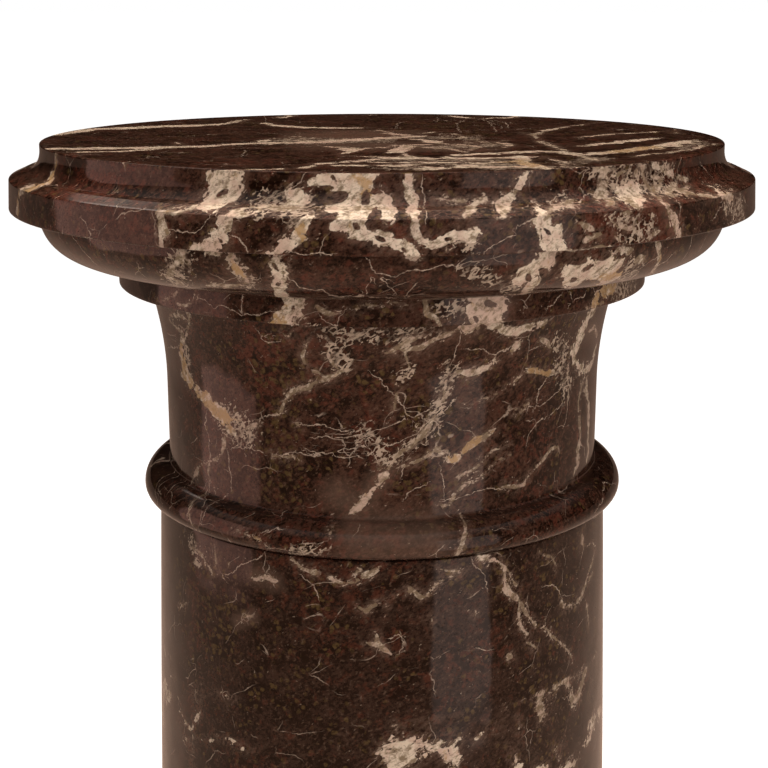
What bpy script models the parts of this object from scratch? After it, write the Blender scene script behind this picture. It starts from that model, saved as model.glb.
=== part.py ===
"""A round pedestal column of dark veined marble, turned in three blocks.

The capital carries the flat top and all its mouldings down to the collar bead, the shaft is a plain
drum that swells towards its foot, and the base ends in a round plinth. Every block is a solid of
revolution about the Z axis. The column stands on Z = 0 with its axis at the origin. Metres, +Z up.
"""

import math

import bmesh
import bpy

# The whole column
OVERALL_HEIGHT = 1.100
SHAFT_TOP_RADIUS = 0.1269
SHAFT_SWELL = 0.0141        # how much wider the shaft is at its foot than at its top
JOINT_GAP = 0.0003          # dry joint between two blocks
EASE = 0.0006               # small bevel that takes the sharpness off an outer edge

# Collar bead, where the capital sits on the shaft
NECK_RECESS = 0.0059        # how far the neck lies inside the shaft's top edge
BEAD_OVERHANG = 0.0085      # how far the bead stands out over the shaft's top edge
BEAD_UPPER_HEIGHT = 0.0119
BEAD_LOWER_HEIGHT = 0.0053
BEAD_FOOT_INSET = 0.0043    # how far the bead curls back in below its widest line
REVEAL_HEIGHT = 0.0026      # shadow line between the bead and the shaft
REVEAL_DEPTH = 0.0040       # how far the shadow line is cut in behind the shaft's face

# Neck
NECK_STRAIGHT_HEIGHT = 0.0467
NECK_FLARE = 0.0081         # how much wider the neck is at its very top
NECK_FLARE_HEIGHT = 0.0540
NECK_FLARE_POWER = 1.9
NECK_FOOT_FILLET = 0.0020

# Mouldings above the neck, from the lowest to the top face
RING_PROJECTION = 0.0158
RING_HEIGHT = 0.0164
RING_SOFFIT = 0.0120        # level underside between the ring and the quarter-round
OVOLO_REACH = 0.0287
OVOLO_HEIGHT = 0.0260
OVOLO_FULLNESS = 0.85       # 1 is a plain quarter ellipse, less is a fuller curve
FASCIA_SOFFIT = 0.0148      # level underside between the quarter-round and the fascia
FASCIA_HEIGHT = 0.0159
FASCIA_LEAN = 0.0008        # how far the fascia's lower edge stands out past its upper edge
WASH_WIDTH = 0.0067         # sloping ledge on top of the fascia
WASH_FALL = 0.0028
QUIRK_WIDTH = 0.0006        # fine groove where the hollow meets the ledge
QUIRK_DEPTH = 0.0005
HOLLOW_REACH = 0.0092
HOLLOW_HEIGHT = 0.0113
RIM_HEIGHT = 0.0034

# Base, from the shaft's foot to the floor
BASE_SEAT_MARGIN = 0.0012   # flat ring left round the shaft's foot
BASE_BEAD_PROJECTION = 0.0070
BASE_BEAD_HEIGHT = 0.0180
BASE_FILLET_HEIGHT = 0.0060
BASE_HOLLOW_REACH = 0.0240
BASE_HOLLOW_HEIGHT = 0.0340
BASE_LIP_HEIGHT = 0.0060
BASE_ROLL_PROJECTION = 0.0170
BASE_ROLL_HEIGHT = 0.0440
PLINTH_MARGIN = 0.0040      # how far the plinth stands out past the roll above it
PLINTH_HEIGHT = 0.0460

# Facets
SEGMENTS = 60               # sides of every turned block
NECK_STEPS = 5
SHAFT_STEPS = 8
SHARP_ANGLE = math.radians(24)
MERGE_DISTANCE = 0.00002    # joins the seam of a turned block and its points on the axis

# Marble
GROUND_COLOUR = (0.052, 0.028, 0.022, 1.0)
POLISHED_ROUGHNESS = 0.14

# Radii that several blocks share
NECK_RADIUS = SHAFT_TOP_RADIUS - NECK_RECESS
BEAD_RADIUS = SHAFT_TOP_RADIUS + BEAD_OVERHANG
SHAFT_FOOT_RADIUS = SHAFT_TOP_RADIUS + SHAFT_SWELL
BASE_SEAT_RADIUS = SHAFT_FOOT_RADIUS + BASE_SEAT_MARGIN


class Outline:
    """Half of a turned block's outline, drawn down its outer side from the middle of its top face.

    Depth is counted downwards from the top face. Each call goes on from where the last one ended.
    """

    def __init__(self):
        self.points = [(0.0, 0.0)]

    def reach(self, radius):
        """Run level to a radius."""
        self.points.append((radius, self.points[-1][1]))

    def move(self, out=0.0, down=0.0):
        """Run straight, outwards and downwards by the amounts given."""
        radius, depth = self.points[-1]
        self.points.append((radius + out, depth + down))

    def quarter(self, out, down, steps, starts_level=False, fullness=1.0):
        """Run along a quarter ellipse that starts straight down and ends level, or the reverse."""
        radius, depth = self.points[-1]
        for step in range(1, steps + 1):
            angle = math.radians(90) * step / steps
            rise = max(math.sin(angle), 0.0) ** fullness
            fall = 1.0 - max(math.cos(angle), 0.0) ** fullness
            along_radius, along_depth = (rise, fall) if starts_level else (fall, rise)
            self.points.append((radius + out * along_radius, depth + down * along_depth))

    def half_round(self, projection, height, steps):
        """Run round a bead that stands out and comes back to the radius it left."""
        self.quarter(projection, height / 2, steps, starts_level=True)
        self.quarter(-projection, height / 2, steps)

    def close(self):
        """Run level back to the axis."""
        self.reach(0.0)

    def depth(self):
        """Depth reached so far."""
        return self.points[-1][1]


def capital_outline():
    """The top face, its rim, hollow, fascia, quarter-round, ring, neck and collar bead."""
    neck_top_radius = NECK_RADIUS + NECK_FLARE
    ring_radius = neck_top_radius + RING_PROJECTION
    ovolo_top_radius = ring_radius + RING_SOFFIT + OVOLO_REACH
    fascia_radius = ovolo_top_radius + FASCIA_SOFFIT
    rim_radius = fascia_radius - FASCIA_LEAN - WASH_WIDTH - HOLLOW_REACH - QUIRK_WIDTH

    line = Outline()
    line.reach(rim_radius - EASE)
    line.move(out=EASE, down=EASE)
    line.move(down=RIM_HEIGHT - EASE)
    line.quarter(HOLLOW_REACH, HOLLOW_HEIGHT, steps=4)
    line.move(out=QUIRK_WIDTH / 2, down=QUIRK_DEPTH)
    line.move(out=QUIRK_WIDTH / 2, down=-QUIRK_DEPTH)
    line.move(out=WASH_WIDTH - EASE, down=WASH_FALL)
    line.move(out=EASE, down=EASE)
    line.move(out=FASCIA_LEAN, down=FASCIA_HEIGHT - 2 * EASE)
    line.move(out=-EASE, down=EASE)
    line.reach(ovolo_top_radius)
    line.quarter(-OVOLO_REACH, OVOLO_HEIGHT, steps=6, fullness=OVOLO_FULLNESS)
    line.reach(ring_radius)
    line.move(down=RING_HEIGHT - EASE)
    line.move(out=-EASE, down=EASE)
    line.reach(neck_top_radius)
    flare_top = line.depth()
    for step in range(1, NECK_STEPS + 1):
        share = step / NECK_STEPS
        radius = NECK_RADIUS + NECK_FLARE * (1 - share) ** NECK_FLARE_POWER
        line.points.append((radius, flare_top + NECK_FLARE_HEIGHT * share))
    line.move(down=NECK_STRAIGHT_HEIGHT)
    line.quarter(NECK_FOOT_FILLET, NECK_FOOT_FILLET, steps=2)
    bead_reach = BEAD_RADIUS - NECK_RADIUS - NECK_FOOT_FILLET
    line.quarter(bead_reach, BEAD_UPPER_HEIGHT, steps=4, starts_level=True)
    line.quarter(-BEAD_FOOT_INSET, BEAD_LOWER_HEIGHT, steps=3)
    line.reach(SHAFT_TOP_RADIUS - REVEAL_DEPTH)
    line.move(down=REVEAL_HEIGHT)
    line.close()
    return line


def shaft_outline(length):
    """A plain drum of a given length that widens quickly below its top and less towards its foot."""
    line = Outline()
    line.reach(SHAFT_TOP_RADIUS - EASE)
    for step in range(SHAFT_STEPS + 1):
        share = step / SHAFT_STEPS
        radius = SHAFT_TOP_RADIUS + SHAFT_SWELL * (1 - (1 - share) ** 2)
        line.points.append((radius, EASE + (length - 2 * EASE) * share))
    line.move(out=-EASE, down=EASE)
    line.close()
    return line


def base_outline():
    """A bead, a hollow, a large roll and a round plinth."""
    line = Outline()
    line.reach(BASE_SEAT_RADIUS)
    line.half_round(BASE_BEAD_PROJECTION, BASE_BEAD_HEIGHT, steps=3)
    line.move(down=BASE_FILLET_HEIGHT)
    line.quarter(BASE_HOLLOW_REACH, BASE_HOLLOW_HEIGHT, steps=4)
    line.move(down=BASE_LIP_HEIGHT)
    lip_radius = line.points[-1][0]
    line.half_round(BASE_ROLL_PROJECTION, BASE_ROLL_HEIGHT, steps=4)
    line.reach(lip_radius + BASE_ROLL_PROJECTION + PLINTH_MARGIN - EASE)
    line.move(out=EASE, down=EASE)
    line.move(down=PLINTH_HEIGHT - 2 * EASE)
    line.move(out=-EASE, down=EASE)
    line.close()
    return line


def marble(name):
    """A polished marble of the ground colour."""
    material = bpy.data.materials.new(name)
    material.use_nodes = True
    shader = material.node_tree.nodes["Principled BSDF"]
    shader.inputs["Base Color"].default_value = GROUND_COLOUR
    shader.inputs["Roughness"].default_value = POLISHED_ROUGHNESS
    shader.inputs["Metallic"].default_value = 0.0
    return material


def turn(name, line, top, parent):
    """Turn an outline round the Z axis into one closed block whose top face lies at a height."""
    shape = bmesh.new()
    corners = [shape.verts.new((radius, 0.0, -depth)) for radius, depth in line.points]
    edges = [shape.edges.new(pair) for pair in zip(corners, corners[1:])]
    bmesh.ops.spin(
        shape, geom=corners + edges, cent=(0, 0, 0), axis=(0, 0, 1),
        angle=math.radians(360), steps=SEGMENTS, use_duplicate=False)
    bmesh.ops.remove_doubles(shape, verts=shape.verts, dist=MERGE_DISTANCE)
    bmesh.ops.recalc_face_normals(shape, faces=shape.faces)

    mesh = bpy.data.meshes.new(name)
    shape.to_mesh(mesh)
    shape.free()
    mesh.shade_smooth()
    mesh.set_sharp_from_angle(angle=SHARP_ANGLE)
    mesh.materials.append(marble(name + "_marble"))

    block = bpy.data.objects.new(name, mesh)
    block.location = (0, 0, top)
    block.parent = parent
    bpy.context.collection.objects.link(block)
    return block


def build():
    """Stack the three blocks, the shaft taking up the height that the other two leave."""
    for item in list(bpy.data.objects):
        bpy.data.objects.remove(item)
    column = bpy.data.objects.new("pedestal_column", None)
    bpy.context.collection.objects.link(column)

    capital = capital_outline()
    base = base_outline()
    shaft_top = OVERALL_HEIGHT - capital.depth() - JOINT_GAP
    shaft = shaft_outline(shaft_top - base.depth() - JOINT_GAP)
    turn("capital", capital, OVERALL_HEIGHT, column)
    turn("shaft", shaft, shaft_top, column)
    turn("base", base, base.depth(), column)


build()
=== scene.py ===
"""Visual model of a round pedestal column turned from dark veined marble.

Three blocks are turned as fine meshes: the capital with its flat top and mouldings, the shaft and the
base. Veins that have a known place are drawn as strokes on the surface, in degrees round the column
and millimetres below its top face, and are kept on the mesh as plain numbers. The stone's shader
breaks their edges up and fills in the ground, the fine web and the veins of the hidden sides.
"""

import logging
import math
from dataclasses import dataclass, field
from enum import Enum
from typing import Union

import bpy
import numpy as np
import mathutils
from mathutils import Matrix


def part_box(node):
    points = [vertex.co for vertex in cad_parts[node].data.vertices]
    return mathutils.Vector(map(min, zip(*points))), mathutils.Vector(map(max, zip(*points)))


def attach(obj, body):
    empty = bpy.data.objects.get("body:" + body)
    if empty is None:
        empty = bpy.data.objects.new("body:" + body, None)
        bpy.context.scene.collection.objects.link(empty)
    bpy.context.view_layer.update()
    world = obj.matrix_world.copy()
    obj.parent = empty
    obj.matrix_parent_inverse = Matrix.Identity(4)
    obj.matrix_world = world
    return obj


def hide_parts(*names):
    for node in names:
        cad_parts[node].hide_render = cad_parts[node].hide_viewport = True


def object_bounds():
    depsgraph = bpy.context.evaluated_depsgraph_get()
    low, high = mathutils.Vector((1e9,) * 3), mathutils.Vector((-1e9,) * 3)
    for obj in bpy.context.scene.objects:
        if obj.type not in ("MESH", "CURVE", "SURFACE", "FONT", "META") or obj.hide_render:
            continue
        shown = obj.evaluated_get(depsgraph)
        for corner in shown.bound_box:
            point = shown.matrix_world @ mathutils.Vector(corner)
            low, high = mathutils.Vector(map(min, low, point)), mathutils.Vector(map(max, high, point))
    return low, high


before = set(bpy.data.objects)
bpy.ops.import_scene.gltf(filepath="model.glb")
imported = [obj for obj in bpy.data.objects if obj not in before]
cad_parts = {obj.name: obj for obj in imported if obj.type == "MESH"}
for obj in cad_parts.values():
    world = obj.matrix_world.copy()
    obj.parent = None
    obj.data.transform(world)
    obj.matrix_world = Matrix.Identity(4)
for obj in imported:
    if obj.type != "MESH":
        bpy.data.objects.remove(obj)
CAD_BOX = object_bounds()

LOG = logging.getLogger("pedestal")
MILLIMETRES = 1000.0
FAR = 90.0                  # millimetres, stands for "no vein anywhere near"
EASE = 0.0006               # radius that takes the sharpness off an outer edge
GRAIN_LEAN = 33.0           # degrees by which the stone's grain rises to the right

Point = tuple[float, float]
Vector = tuple[float, float, float]
Colour = tuple[float, float, float, float]
Socket = bpy.types.NodeSocket
Feed = Union[Socket, float, Colour, Vector]

BLACK: Colour = (0.0, 0.0, 0.0, 1.0)


class Mark(Enum):
    """What a stroke leaves in the stone."""

    BROAD = "broad"
    HAIR = "hair"
    ISLAND = "island"
    OCHRE = "ochre"
    ROSE = "rose"
    RUST = "rust"
    MOSS = "moss"
    LATTICE = "lattice"


@dataclass(frozen=True)
class Stroke:
    """One vein, patch or stain, drawn as a line with a half width in millimetres."""

    mark: Mark
    half_width: float
    path: tuple[Point, ...]


def broad(half_width: float, *path: Point) -> Stroke:
    """A cream vein."""
    return Stroke(Mark.BROAD, half_width, path)


def hair(*path: Point) -> Stroke:
    """A thin pale line, whose width the shader gives."""
    return Stroke(Mark.HAIR, 0.0, path)


def island(half_width: float, *path: Point) -> Stroke:
    """Dark ground left standing inside a vein."""
    return Stroke(Mark.ISLAND, half_width, path)


def ochre(half_width: float, *path: Point) -> Stroke:
    """An ochre stain."""
    return Stroke(Mark.OCHRE, half_width, path)


def rose(half_width: float, *path: Point) -> Stroke:
    """A pinkish zone that pales the ground: a stain, except the two in the top's middle, which are a
    painted lit patch.
    """
    return Stroke(Mark.ROSE, half_width, path)


def rust(half_width: float, *path: Point) -> Stroke:
    """A redder part of the ground: the stone's own, except in the top's middle, where it is part of a
    painted lit patch.
    """
    return Stroke(Mark.RUST, half_width, path)


def moss(half_width: float, *path: Point) -> Stroke:
    """A greener part of the ground."""
    return Stroke(Mark.MOSS, half_width, path)


def lattice(half_width: float, *path: Point) -> Stroke:
    """A part where fine pale lines cross each other closely."""
    return Stroke(Mark.LATTICE, half_width, path)


# Veins and stains on the flat top, with a painted lit patch in its middle: millimetres to the right of
# the axis and behind it
TOP_VEINS = (
    broad(7, (-182, 12), (-178, 35), (-166, 56)),
    broad(8, (-166, 56), (-150, 60), (-125, 76), (-100, 85)),
    broad(3.5, (-100, 85), (-92, 105), (-86, 130)),
    broad(4, (-67, 142), (-58, 168)),
    hair((-76, 160), (-73, 120), (-70, 95)),
    broad(3, (-74, 105), (-66, 85)),
    broad(5, (-66, 85), (-50, 68), (-30, 60), (-8, 62)),
    hair((-8, 62), (8, 58), (10, 98), (14, 112)),
    broad(6, (-168, -72), (-130, -68), (-105, -62), (-90, -58)),
    broad(3, (-152, -88), (-128, -86), (-112, -72)),
    broad(4.5, (-90, -58), (-82, -48), (-68, -40), (-50, -38)),
    broad(6, (-50, -38), (-30, -30), (-12, -18), (6, -5), (20, 5)),
    broad(1.3, (-96, -58), (-104, -52), (-108, -32)),
    hair((-88, -70), (-60, -68)),
    # painted lit patch: these two rose zones and the rust zone pale and redden the ground where light
    # brightens the middle of the top
    rose(44, (-24, 4), (-8, 22)),
    rose(36, (-16, -50), (30, -62)),
    rust(30, (-24, 8), (-14, 18)),
    broad(10, (-28, -24), (-24, -32)),
    broad(2.4, (-58, -46), (-64, -30), (-56, -6)),
    broad(2.0, (-46, -40), (-52, -22)),
    broad(1.8, (8, 6), (4, 30), (-4, 48)),
    broad(2.0, (32, 22), (38, 2), (34, -14)),
    broad(1.6, (22, 20), (30, 34)),
    broad(2.2, (40, -44), (50, -60), (44, -78)),
    broad(2.0, (58, -30), (66, -46), (62, -66)),
    broad(1.6, (-38, -58), (-16, -62), (4, -60)),
    broad(3.2, (16, -14), (25, -24)),
    broad(6.0, (25, -26), (29, -36)),
    broad(2.0, (29, -38), (36, -48)),
    broad(2.2, (-28, -58), (-20, -66)),
    broad(6.5, (-17, -68), (-15, -80)),
    broad(2.4, (-15, -84), (-20, -100)),
    broad(1.8, (-10, -70), (4, -62)),
    broad(5, (14, -52), (10, -70), (5, -92)),
    broad(3, (4, -52), (26, -48)),
    island(11, (-22, -50), (-8, -48)),
    island(7, (10, -28), (12, -38)),
    lattice(15, (24, -4), (44, -8)),
    lattice(14, (30, -64), (54, -52)),
    broad(1.6, (20, -62), (34, -72), (42, -90)),
    broad(1.4, (46, -22), (44, -44), (34, -58)),
    lattice(14, (-60, -38), (-40, -12)),
    broad(1.2, (-48, 35), (-44, 0), (-36, -30)),
    broad(2.5, (0, 25), (12, 14), (14, 2)),
    broad(1.2, (40, 25), (44, 0), (46, -40)),
    broad(4.5, (34, -104), (55, -96), (78, -84), (88, -90), (94, -104)),
    broad(5.5, (94, -104), (110, -92), (128, -74), (145, -52), (166, -22)),
    ochre(16, (118, -84), (132, -66)),
    ochre(12, (60, -130), (70, -150)),
    broad(4, (102, -56), (122, -36), (150, -6)),
    broad(2.5, (106, -4), (130, 18), (165, 40)),
    broad(2, (84, 8), (84, -30), (88, -62), (90, -84)),
    broad(2.4, (84, 8), (94, 42), (112, 76), (135, 104)),
    broad(1.8, (84, 8), (76, 32)),
    hair((65, 35), (66, 100), (62, 140)),
    hair((74, 60), (76, 105), (68, 128)),
    hair((44, 30), (46, 100), (54, 130)),
    hair((34, 110), (36, 150)),
    broad(4, (62, 138), (80, 142), (92, 165)),
    broad(3, (42, 165), (56, 140)),
    broad(1.6, (165, 15), (170, 50)),
    moss(30, (35, 95), (30, 45)),
    broad(3.6, (-30, -146), (-14, -134), (0, -120), (30, -122), (76, -112)),
    broad(3, (-26, -152), (-4, -152), (20, -156)),
    broad(2.8, (-4, -138), (40, -140), (64, -136)),
    broad(2, (-18, -110), (6, -112), (14, -108)),
    broad(4.5, (66, -106), (64, -140), (72, -168)),
    broad(2.6, (-30, -150), (-34, -164), (-64, -171)),
    broad(5, (16, -170), (40, -156), (66, -160)),
    broad(2, (94, -104), (100, -130)),
    broad(2, (10, -94), (14, -112), (24, -118)),
    broad(2.5, (42, -102), (28, -116)),
    lattice(10, (102, -120), (86, -142)),
    lattice(7, (150, -70), (166, -40)),
    broad(1.4, (138, -74), (156, -52), (170, -28)),
    lattice(7, (0, -128), (56, -131)),
    lattice(9, (30, -148), (60, -148)),
    lattice(9, (0, -163), (14, -166)),
    lattice(10, (50, -165), (84, -158)),
    broad(1.6, (26, -130), (44, -132), (60, -128)),
    broad(1.5, (2, -146), (26, -148), (50, -146)),
    broad(1.8, (78, -118), (84, -138), (80, -158)),
    broad(1.4, (92, -128), (104, -120)),
    broad(1.5, (-14, -142), (-6, -128), (10, -118)),
    lattice(22, (-45, -30), (-5, -22)),
    broad(2.6, (-10, -112), (30, -122), (60, -120)),
    broad(1.6, (-60, -10), (-44, -24), (-36, -34)),
    broad(1.4, (-52, 8), (-46, -8), (-40, -28)),
    broad(1.3, (30, -2), (34, -16), (30, -26)),
    broad(1.2, (52, 10), (52, -30), (56, -58)),
    broad(1.2, (66, -20), (60, -40), (52, -60)),
    hair((-68, -78), (-66, -110)),
    broad(2.2, (118, -112), (150, -80), (172, -42)),
)

# Veins on the turned side: degrees to the right of the front and millimetres below the top face
RIM_VEINS = (
    broad(2.2, (-60, 0), (-60, 7)),
    broad(4.0, (-60, 9.5), (-60.3, 12)),
    broad(3.2, (-59.6, 12.5), (-58.2, 14.8)),
    broad(2.0, (-58, 15.6), (-61, 16.8), (-63, 17.6)),
    ochre(6, (-60, 10), (-59, 16)),
    rust(9, (-50, 11), (-44, 12)),
    broad(8, (-20.7, 0), (-22.5, 8), (-23.5, 12)),
    broad(4, (-23.5, 12), (-24, 14.5)),
    broad(1.6, (-24, 15), (-26.5, 17.2), (-28.3, 18)),
    island(1.4, (-22, 5), (-22, 6)),
    island(1.0, (-21.4, 9), (-22.6, 11)),
    hair((-21.5, 14), (-20.8, 16.5)),
    lattice(9, (-15.5, 12), (-10, 15)),
    broad(2.4, (-15.5, 15), (-17, 16), (-19.5, 18)),
    broad(1.2, (-15, 15), (-12, 13), (-10, 14)),
    broad(15, (-5.4, 1), (-5.2, 5)),
    broad(3.2, (-12.3, 8.5), (-10, 11.5)),
    broad(12, (-5, 6), (-4.2, 12)),
    broad(11, (-3.4, 12), (-2.6, 17)),
    broad(5, (0, 9), (1, 17)),
    island(2.6, (-9, 12), (-7.5, 10.5), (-5, 8.5)),
    island(1.8, (-2.4, 12), (-1.6, 8)),
    island(2.2, (0.8, 1), (1, 3)),
    island(2.8, (1.2, 4.5), (1.8, 7)),
    island(1.6, (2.4, 10), (2.6, 14)),
    island(1.2, (-6.6, 2), (-6.2, 5)),
    ochre(5, (-2.4, 4), (-1.8, 8)),
    broad(2.4, (4, 0), (3.4, 7), (4, 12), (4, 18)),
    hair((5.3, 4), (5.3, 17)),
    broad(0.8, (6.5, 11), (9, 11.5), (11.5, 11)),
    broad(1.1, (14, 11), (12.5, 13), (11, 15.5), (10, 17)),
    broad(3.0, (21, 0), (18.7, 8)),
    broad(2.2, (18.7, 8), (17, 11), (15.2, 15), (14.5, 18)),
    hair((20, 17), (23, 14.5), (25.5, 10)),
    hair((24, 16), (28, 12.5), (31, 11)),
    broad(0.9, (21, 16.5), (24, 14.5), (27, 12.5)),
    lattice(6, (31, 2), (47, 5)),
    broad(1.3, (31, 1), (33, 3)),
    broad(1.1, (34.6, 5.5), (37.5, 3.5)),
    broad(1.2, (42.6, 6.5), (45, 8.6)),
    broad(0.9, (42, 11), (44.6, 9.4)),
    broad(1.0, (31.5, 8.5), (34.5, 7)),
    broad(1.2, (45, 13), (47.5, 11.5)),
    lattice(5, (32, 9), (46, 12)),
    broad(1.2, (40.8, 13.5), (43, 11), (44.6, 9)),
    broad(1.1, (43, 14.5), (46, 12.4), (48.4, 10.8)),
    broad(0.9, (46, 15), (49, 13.4), (51, 12.6)),
    broad(0.9, (30.4, 15), (33, 13.2)),
    broad(1.4, (30.5, 11.8), (32.8, 10)),
    broad(1.0, (31.6, 5.4), (33.8, 4.6)),
    broad(1.6, (39.2, 4), (39.0, 8)),
    broad(3.6, (38.6, 9), (36.5, 12), (34, 15)),
    broad(1.8, (36, 15), (34.5, 17)),
    broad(1.2, (30, 13), (33, 11)),
    broad(1.1, (40.4, 0), (40.5, 7), (41, 13), (39.6, 17)),
    rose(4, (40.4, 0), (41, 14)),
    broad(1.6, (42.8, 1), (45, 4)),
    broad(2.2, (45, 4), (47.6, 6), (48.3, 8)),
    broad(1.5, (48.8, 9.5), (51.4, 10.5)),
    broad(0.9, (48, 15.4), (51, 17), (54, 18)),
    hair((57, 3), (59.3, 9)),
)

FASCIA_VEINS = (
    broad(2.4, (-63.2, 18), (-62.8, 22)),
    broad(4.0, (-64.2, 24.5), (-63.8, 26.5)),
    broad(2.4, (-63.4, 28), (-64.8, 30)),
    ochre(6, (-64, 22), (-63, 28)),
    hair((-43, 26), (-41.5, 28), (-41, 31), (-41.3, 33)),
    broad(1.8, (-29.3, 18), (-28.4, 22)),
    broad(2.3, (-28.4, 22), (-28.1, 27), (-28.8, 31)),
    broad(1.5, (-28.8, 31), (-28.6, 35)),
    hair((-27.5, 26.5), (-24, 25), (-21.5, 19)),
    broad(3.6, (-19, 17), (-19.7, 24)),
    broad(4.8, (-19.7, 24), (-21, 30)),
    broad(5.6, (-21, 30), (-24, 36)),
    island(1.0, (-20.4, 27), (-20, 29.5)),
    hair((-18.5, 26), (-17, 30), (-16.5, 33)),
    broad(3.4, (-8.5, 17), (-9.5, 22), (-11, 27)),
    broad(3.4, (-11, 27), (-13, 33), (-14.5, 37)),
    ochre(4, (-9.5, 21.5), (-9.6, 23)),
    hair((-11, 32.5), (-6, 32.5)),
    broad(3.4, (-5, 17), (-3, 22), (-1.5, 25.5)),
    broad(3.6, (-1.5, 25.5), (1, 27.6), (3, 29.5)),
    broad(4.0, (3, 29.5), (4.5, 36)),
    island(1.2, (-3.4, 20), (-2.8, 22)),
    island(1.3, (-1.6, 21), (-1.2, 23)),
    island(1.4, (-0.8, 25.6), (0.2, 27)),
    island(0.9, (-20.8, 31), (-21.6, 33)),
    island(0.9, (7.6, 26), (8.4, 27)),
    island(1.0, (2.6, 30), (3.0, 32)),
    broad(1.8, (4, 18), (4.5, 24), (5, 27)),
    rust(6, (2.5, 20), (2.5, 26)),
    broad(2.8, (5, 27.5), (8, 26), (10.5, 25), (12, 23.5)),
    broad(1.3, (7.9, 28), (7.9, 33)),
    lattice(5, (9, 28), (11, 30)),
    hair((13, 32), (16, 26)),
    hair((17, 21), (19, 18.5)),
    broad(5.0, (20.3, 17), (20.6, 22)),
    broad(8.2, (21.2, 24), (21.8, 26.5)),
    broad(5.6, (22, 28), (22.2, 35)),
    island(1.1, (20.4, 23), (21, 25)),
    island(1.0, (22.8, 27), (22.4, 29)),
    lattice(5, (30, 22), (37, 24)),
    lattice(5, (32, 30), (37, 29)),
    broad(1.0, (31.4, 18.4), (33.6, 19.4)),
    broad(1.1, (34, 27), (35.4, 30.6)),
    broad(0.9, (30.6, 29), (32, 31.6)),
    broad(0.9, (36.6, 20), (37.8, 22.4)),
    rust(16, (29, 22), (37, 26)),
    broad(2.0, (23, 35), (32, 35.4)),
    broad(1.2, (29, 19), (31, 24), (34, 26)),
    broad(1.4, (25.5, 22), (27.5, 25.5)),
    broad(1.1, (26, 30), (28.6, 27.6)),
    broad(1.2, (36.4, 32), (38.8, 29)),
    broad(2.3, (39.6, 17), (40.5, 22), (41.2, 25)),
    broad(3.4, (41.2, 25), (42.5, 34)),
    rose(5, (39.5, 18), (42, 33)),
    hair((43, 18), (42.8, 22)),
    hair((51, 28), (52.2, 24.5), (53.5, 23)),
    broad(3.4, (54, 18.4), (57, 19.4)),
    broad(1.8, (55.2, 20.5), (54.6, 25), (55, 28)),
    lattice(12, (57, 22), (61, 29)),
    rose(10, (57, 24), (61, 29)),
    hair((62.5, 21), (65, 27)),
)

OVOLO_VEINS = (
    hair((-47.8, 33), (-48, 38)),
    hair((-53, 39), (-51.5, 43), (-50, 46.5), (-49, 50)),
    broad(2.2, (-28.5, 36), (-30, 43)),
    broad(1.4, (-30, 43), (-33, 50), (-31, 54)),
    lattice(9, (-29, 40), (-32, 52)),
    broad(2.2, (-21, 36), (-20.6, 40)),
    broad(2.6, (-20.6, 41.5), (-19.6, 45)),
    broad(1.6, (-19.6, 46), (-19, 50)),
    lattice(6, (-21, 37), (-19, 50)),
    ochre(4, (-21, 42), (-20, 45)),
    rose(6, (-21, 38), (-19.5, 50)),
    broad(0.9, (-19, 50), (-23, 52), (-28, 54)),
    broad(4.1, (-14.3, 36), (-14.5, 45), (-15, 60)),
    island(1.1, (-14.8, 40), (-14.3, 43)),
    island(1.0, (-14.4, 48), (-15, 50)),
    hair((-13, 46), (-12, 48), (-11, 51), (-9, 52), (-8, 54), (-6, 55), (-3, 55), (1.5, 56)),
    hair((-2, 37), (-1, 42), (0.5, 47), (2, 52)),
    hair((-1.5, 45), (-1.8, 50), (-2.2, 54)),
    hair((0, 43), (2, 44), (3.5, 42), (6, 41.5), (9.5, 40.3)),
    lattice(5, (11, 41), (13.5, 44), (16, 48), (18, 51), (19.5, 54)),
    broad(4.6, (24, 34), (22.5, 42), (19, 48)),
    broad(3.6, (22, 48), (22, 58)),
    broad(7.5, (27, 46), (31, 47)),
    broad(6.5, (31, 47), (36.5, 45)),
    broad(4.6, (33, 51), (38, 53)),
    broad(2.2, (34.5, 39), (38.5, 39.5)),
    ochre(4, (34, 52), (39, 50)),
    island(0.9, (24.6, 40), (25.4, 42)),
    island(1.0, (29.4, 45.5), (31, 44.2)),
    island(0.9, (33.4, 47.5), (35, 46.4)),
    island(0.8, (36.6, 49.5), (38, 48.6)),
    island(1.0, (20.6, 47), (21.2, 50)),
    island(1.9, (22.4, 44.5), (24, 48.5)),
    island(1.6, (28.3, 50), (28.8, 51)),
    island(3.0, (26.2, 38), (29.6, 41)),
    island(2.4, (31.2, 39), (33.8, 40.5)),
    island(1.4, (31, 53), (35, 54)),
    broad(1.8, (39.5, 44.5), (41.5, 44)),
    lattice(6, (39, 47), (41, 53)),
    broad(2.0, (43.8, 36), (44.7, 43), (45.6, 48)),
    broad(1.5, (45.6, 48), (46.2, 52), (47.6, 55)),
    ochre(2.6, (45.7, 40), (46, 44)),
    hair((46.5, 50), (49, 46)),
    hair((54, 38), (53.8, 48)),
    rust(20, (-70, 42), (-50, 46)),
)

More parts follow.
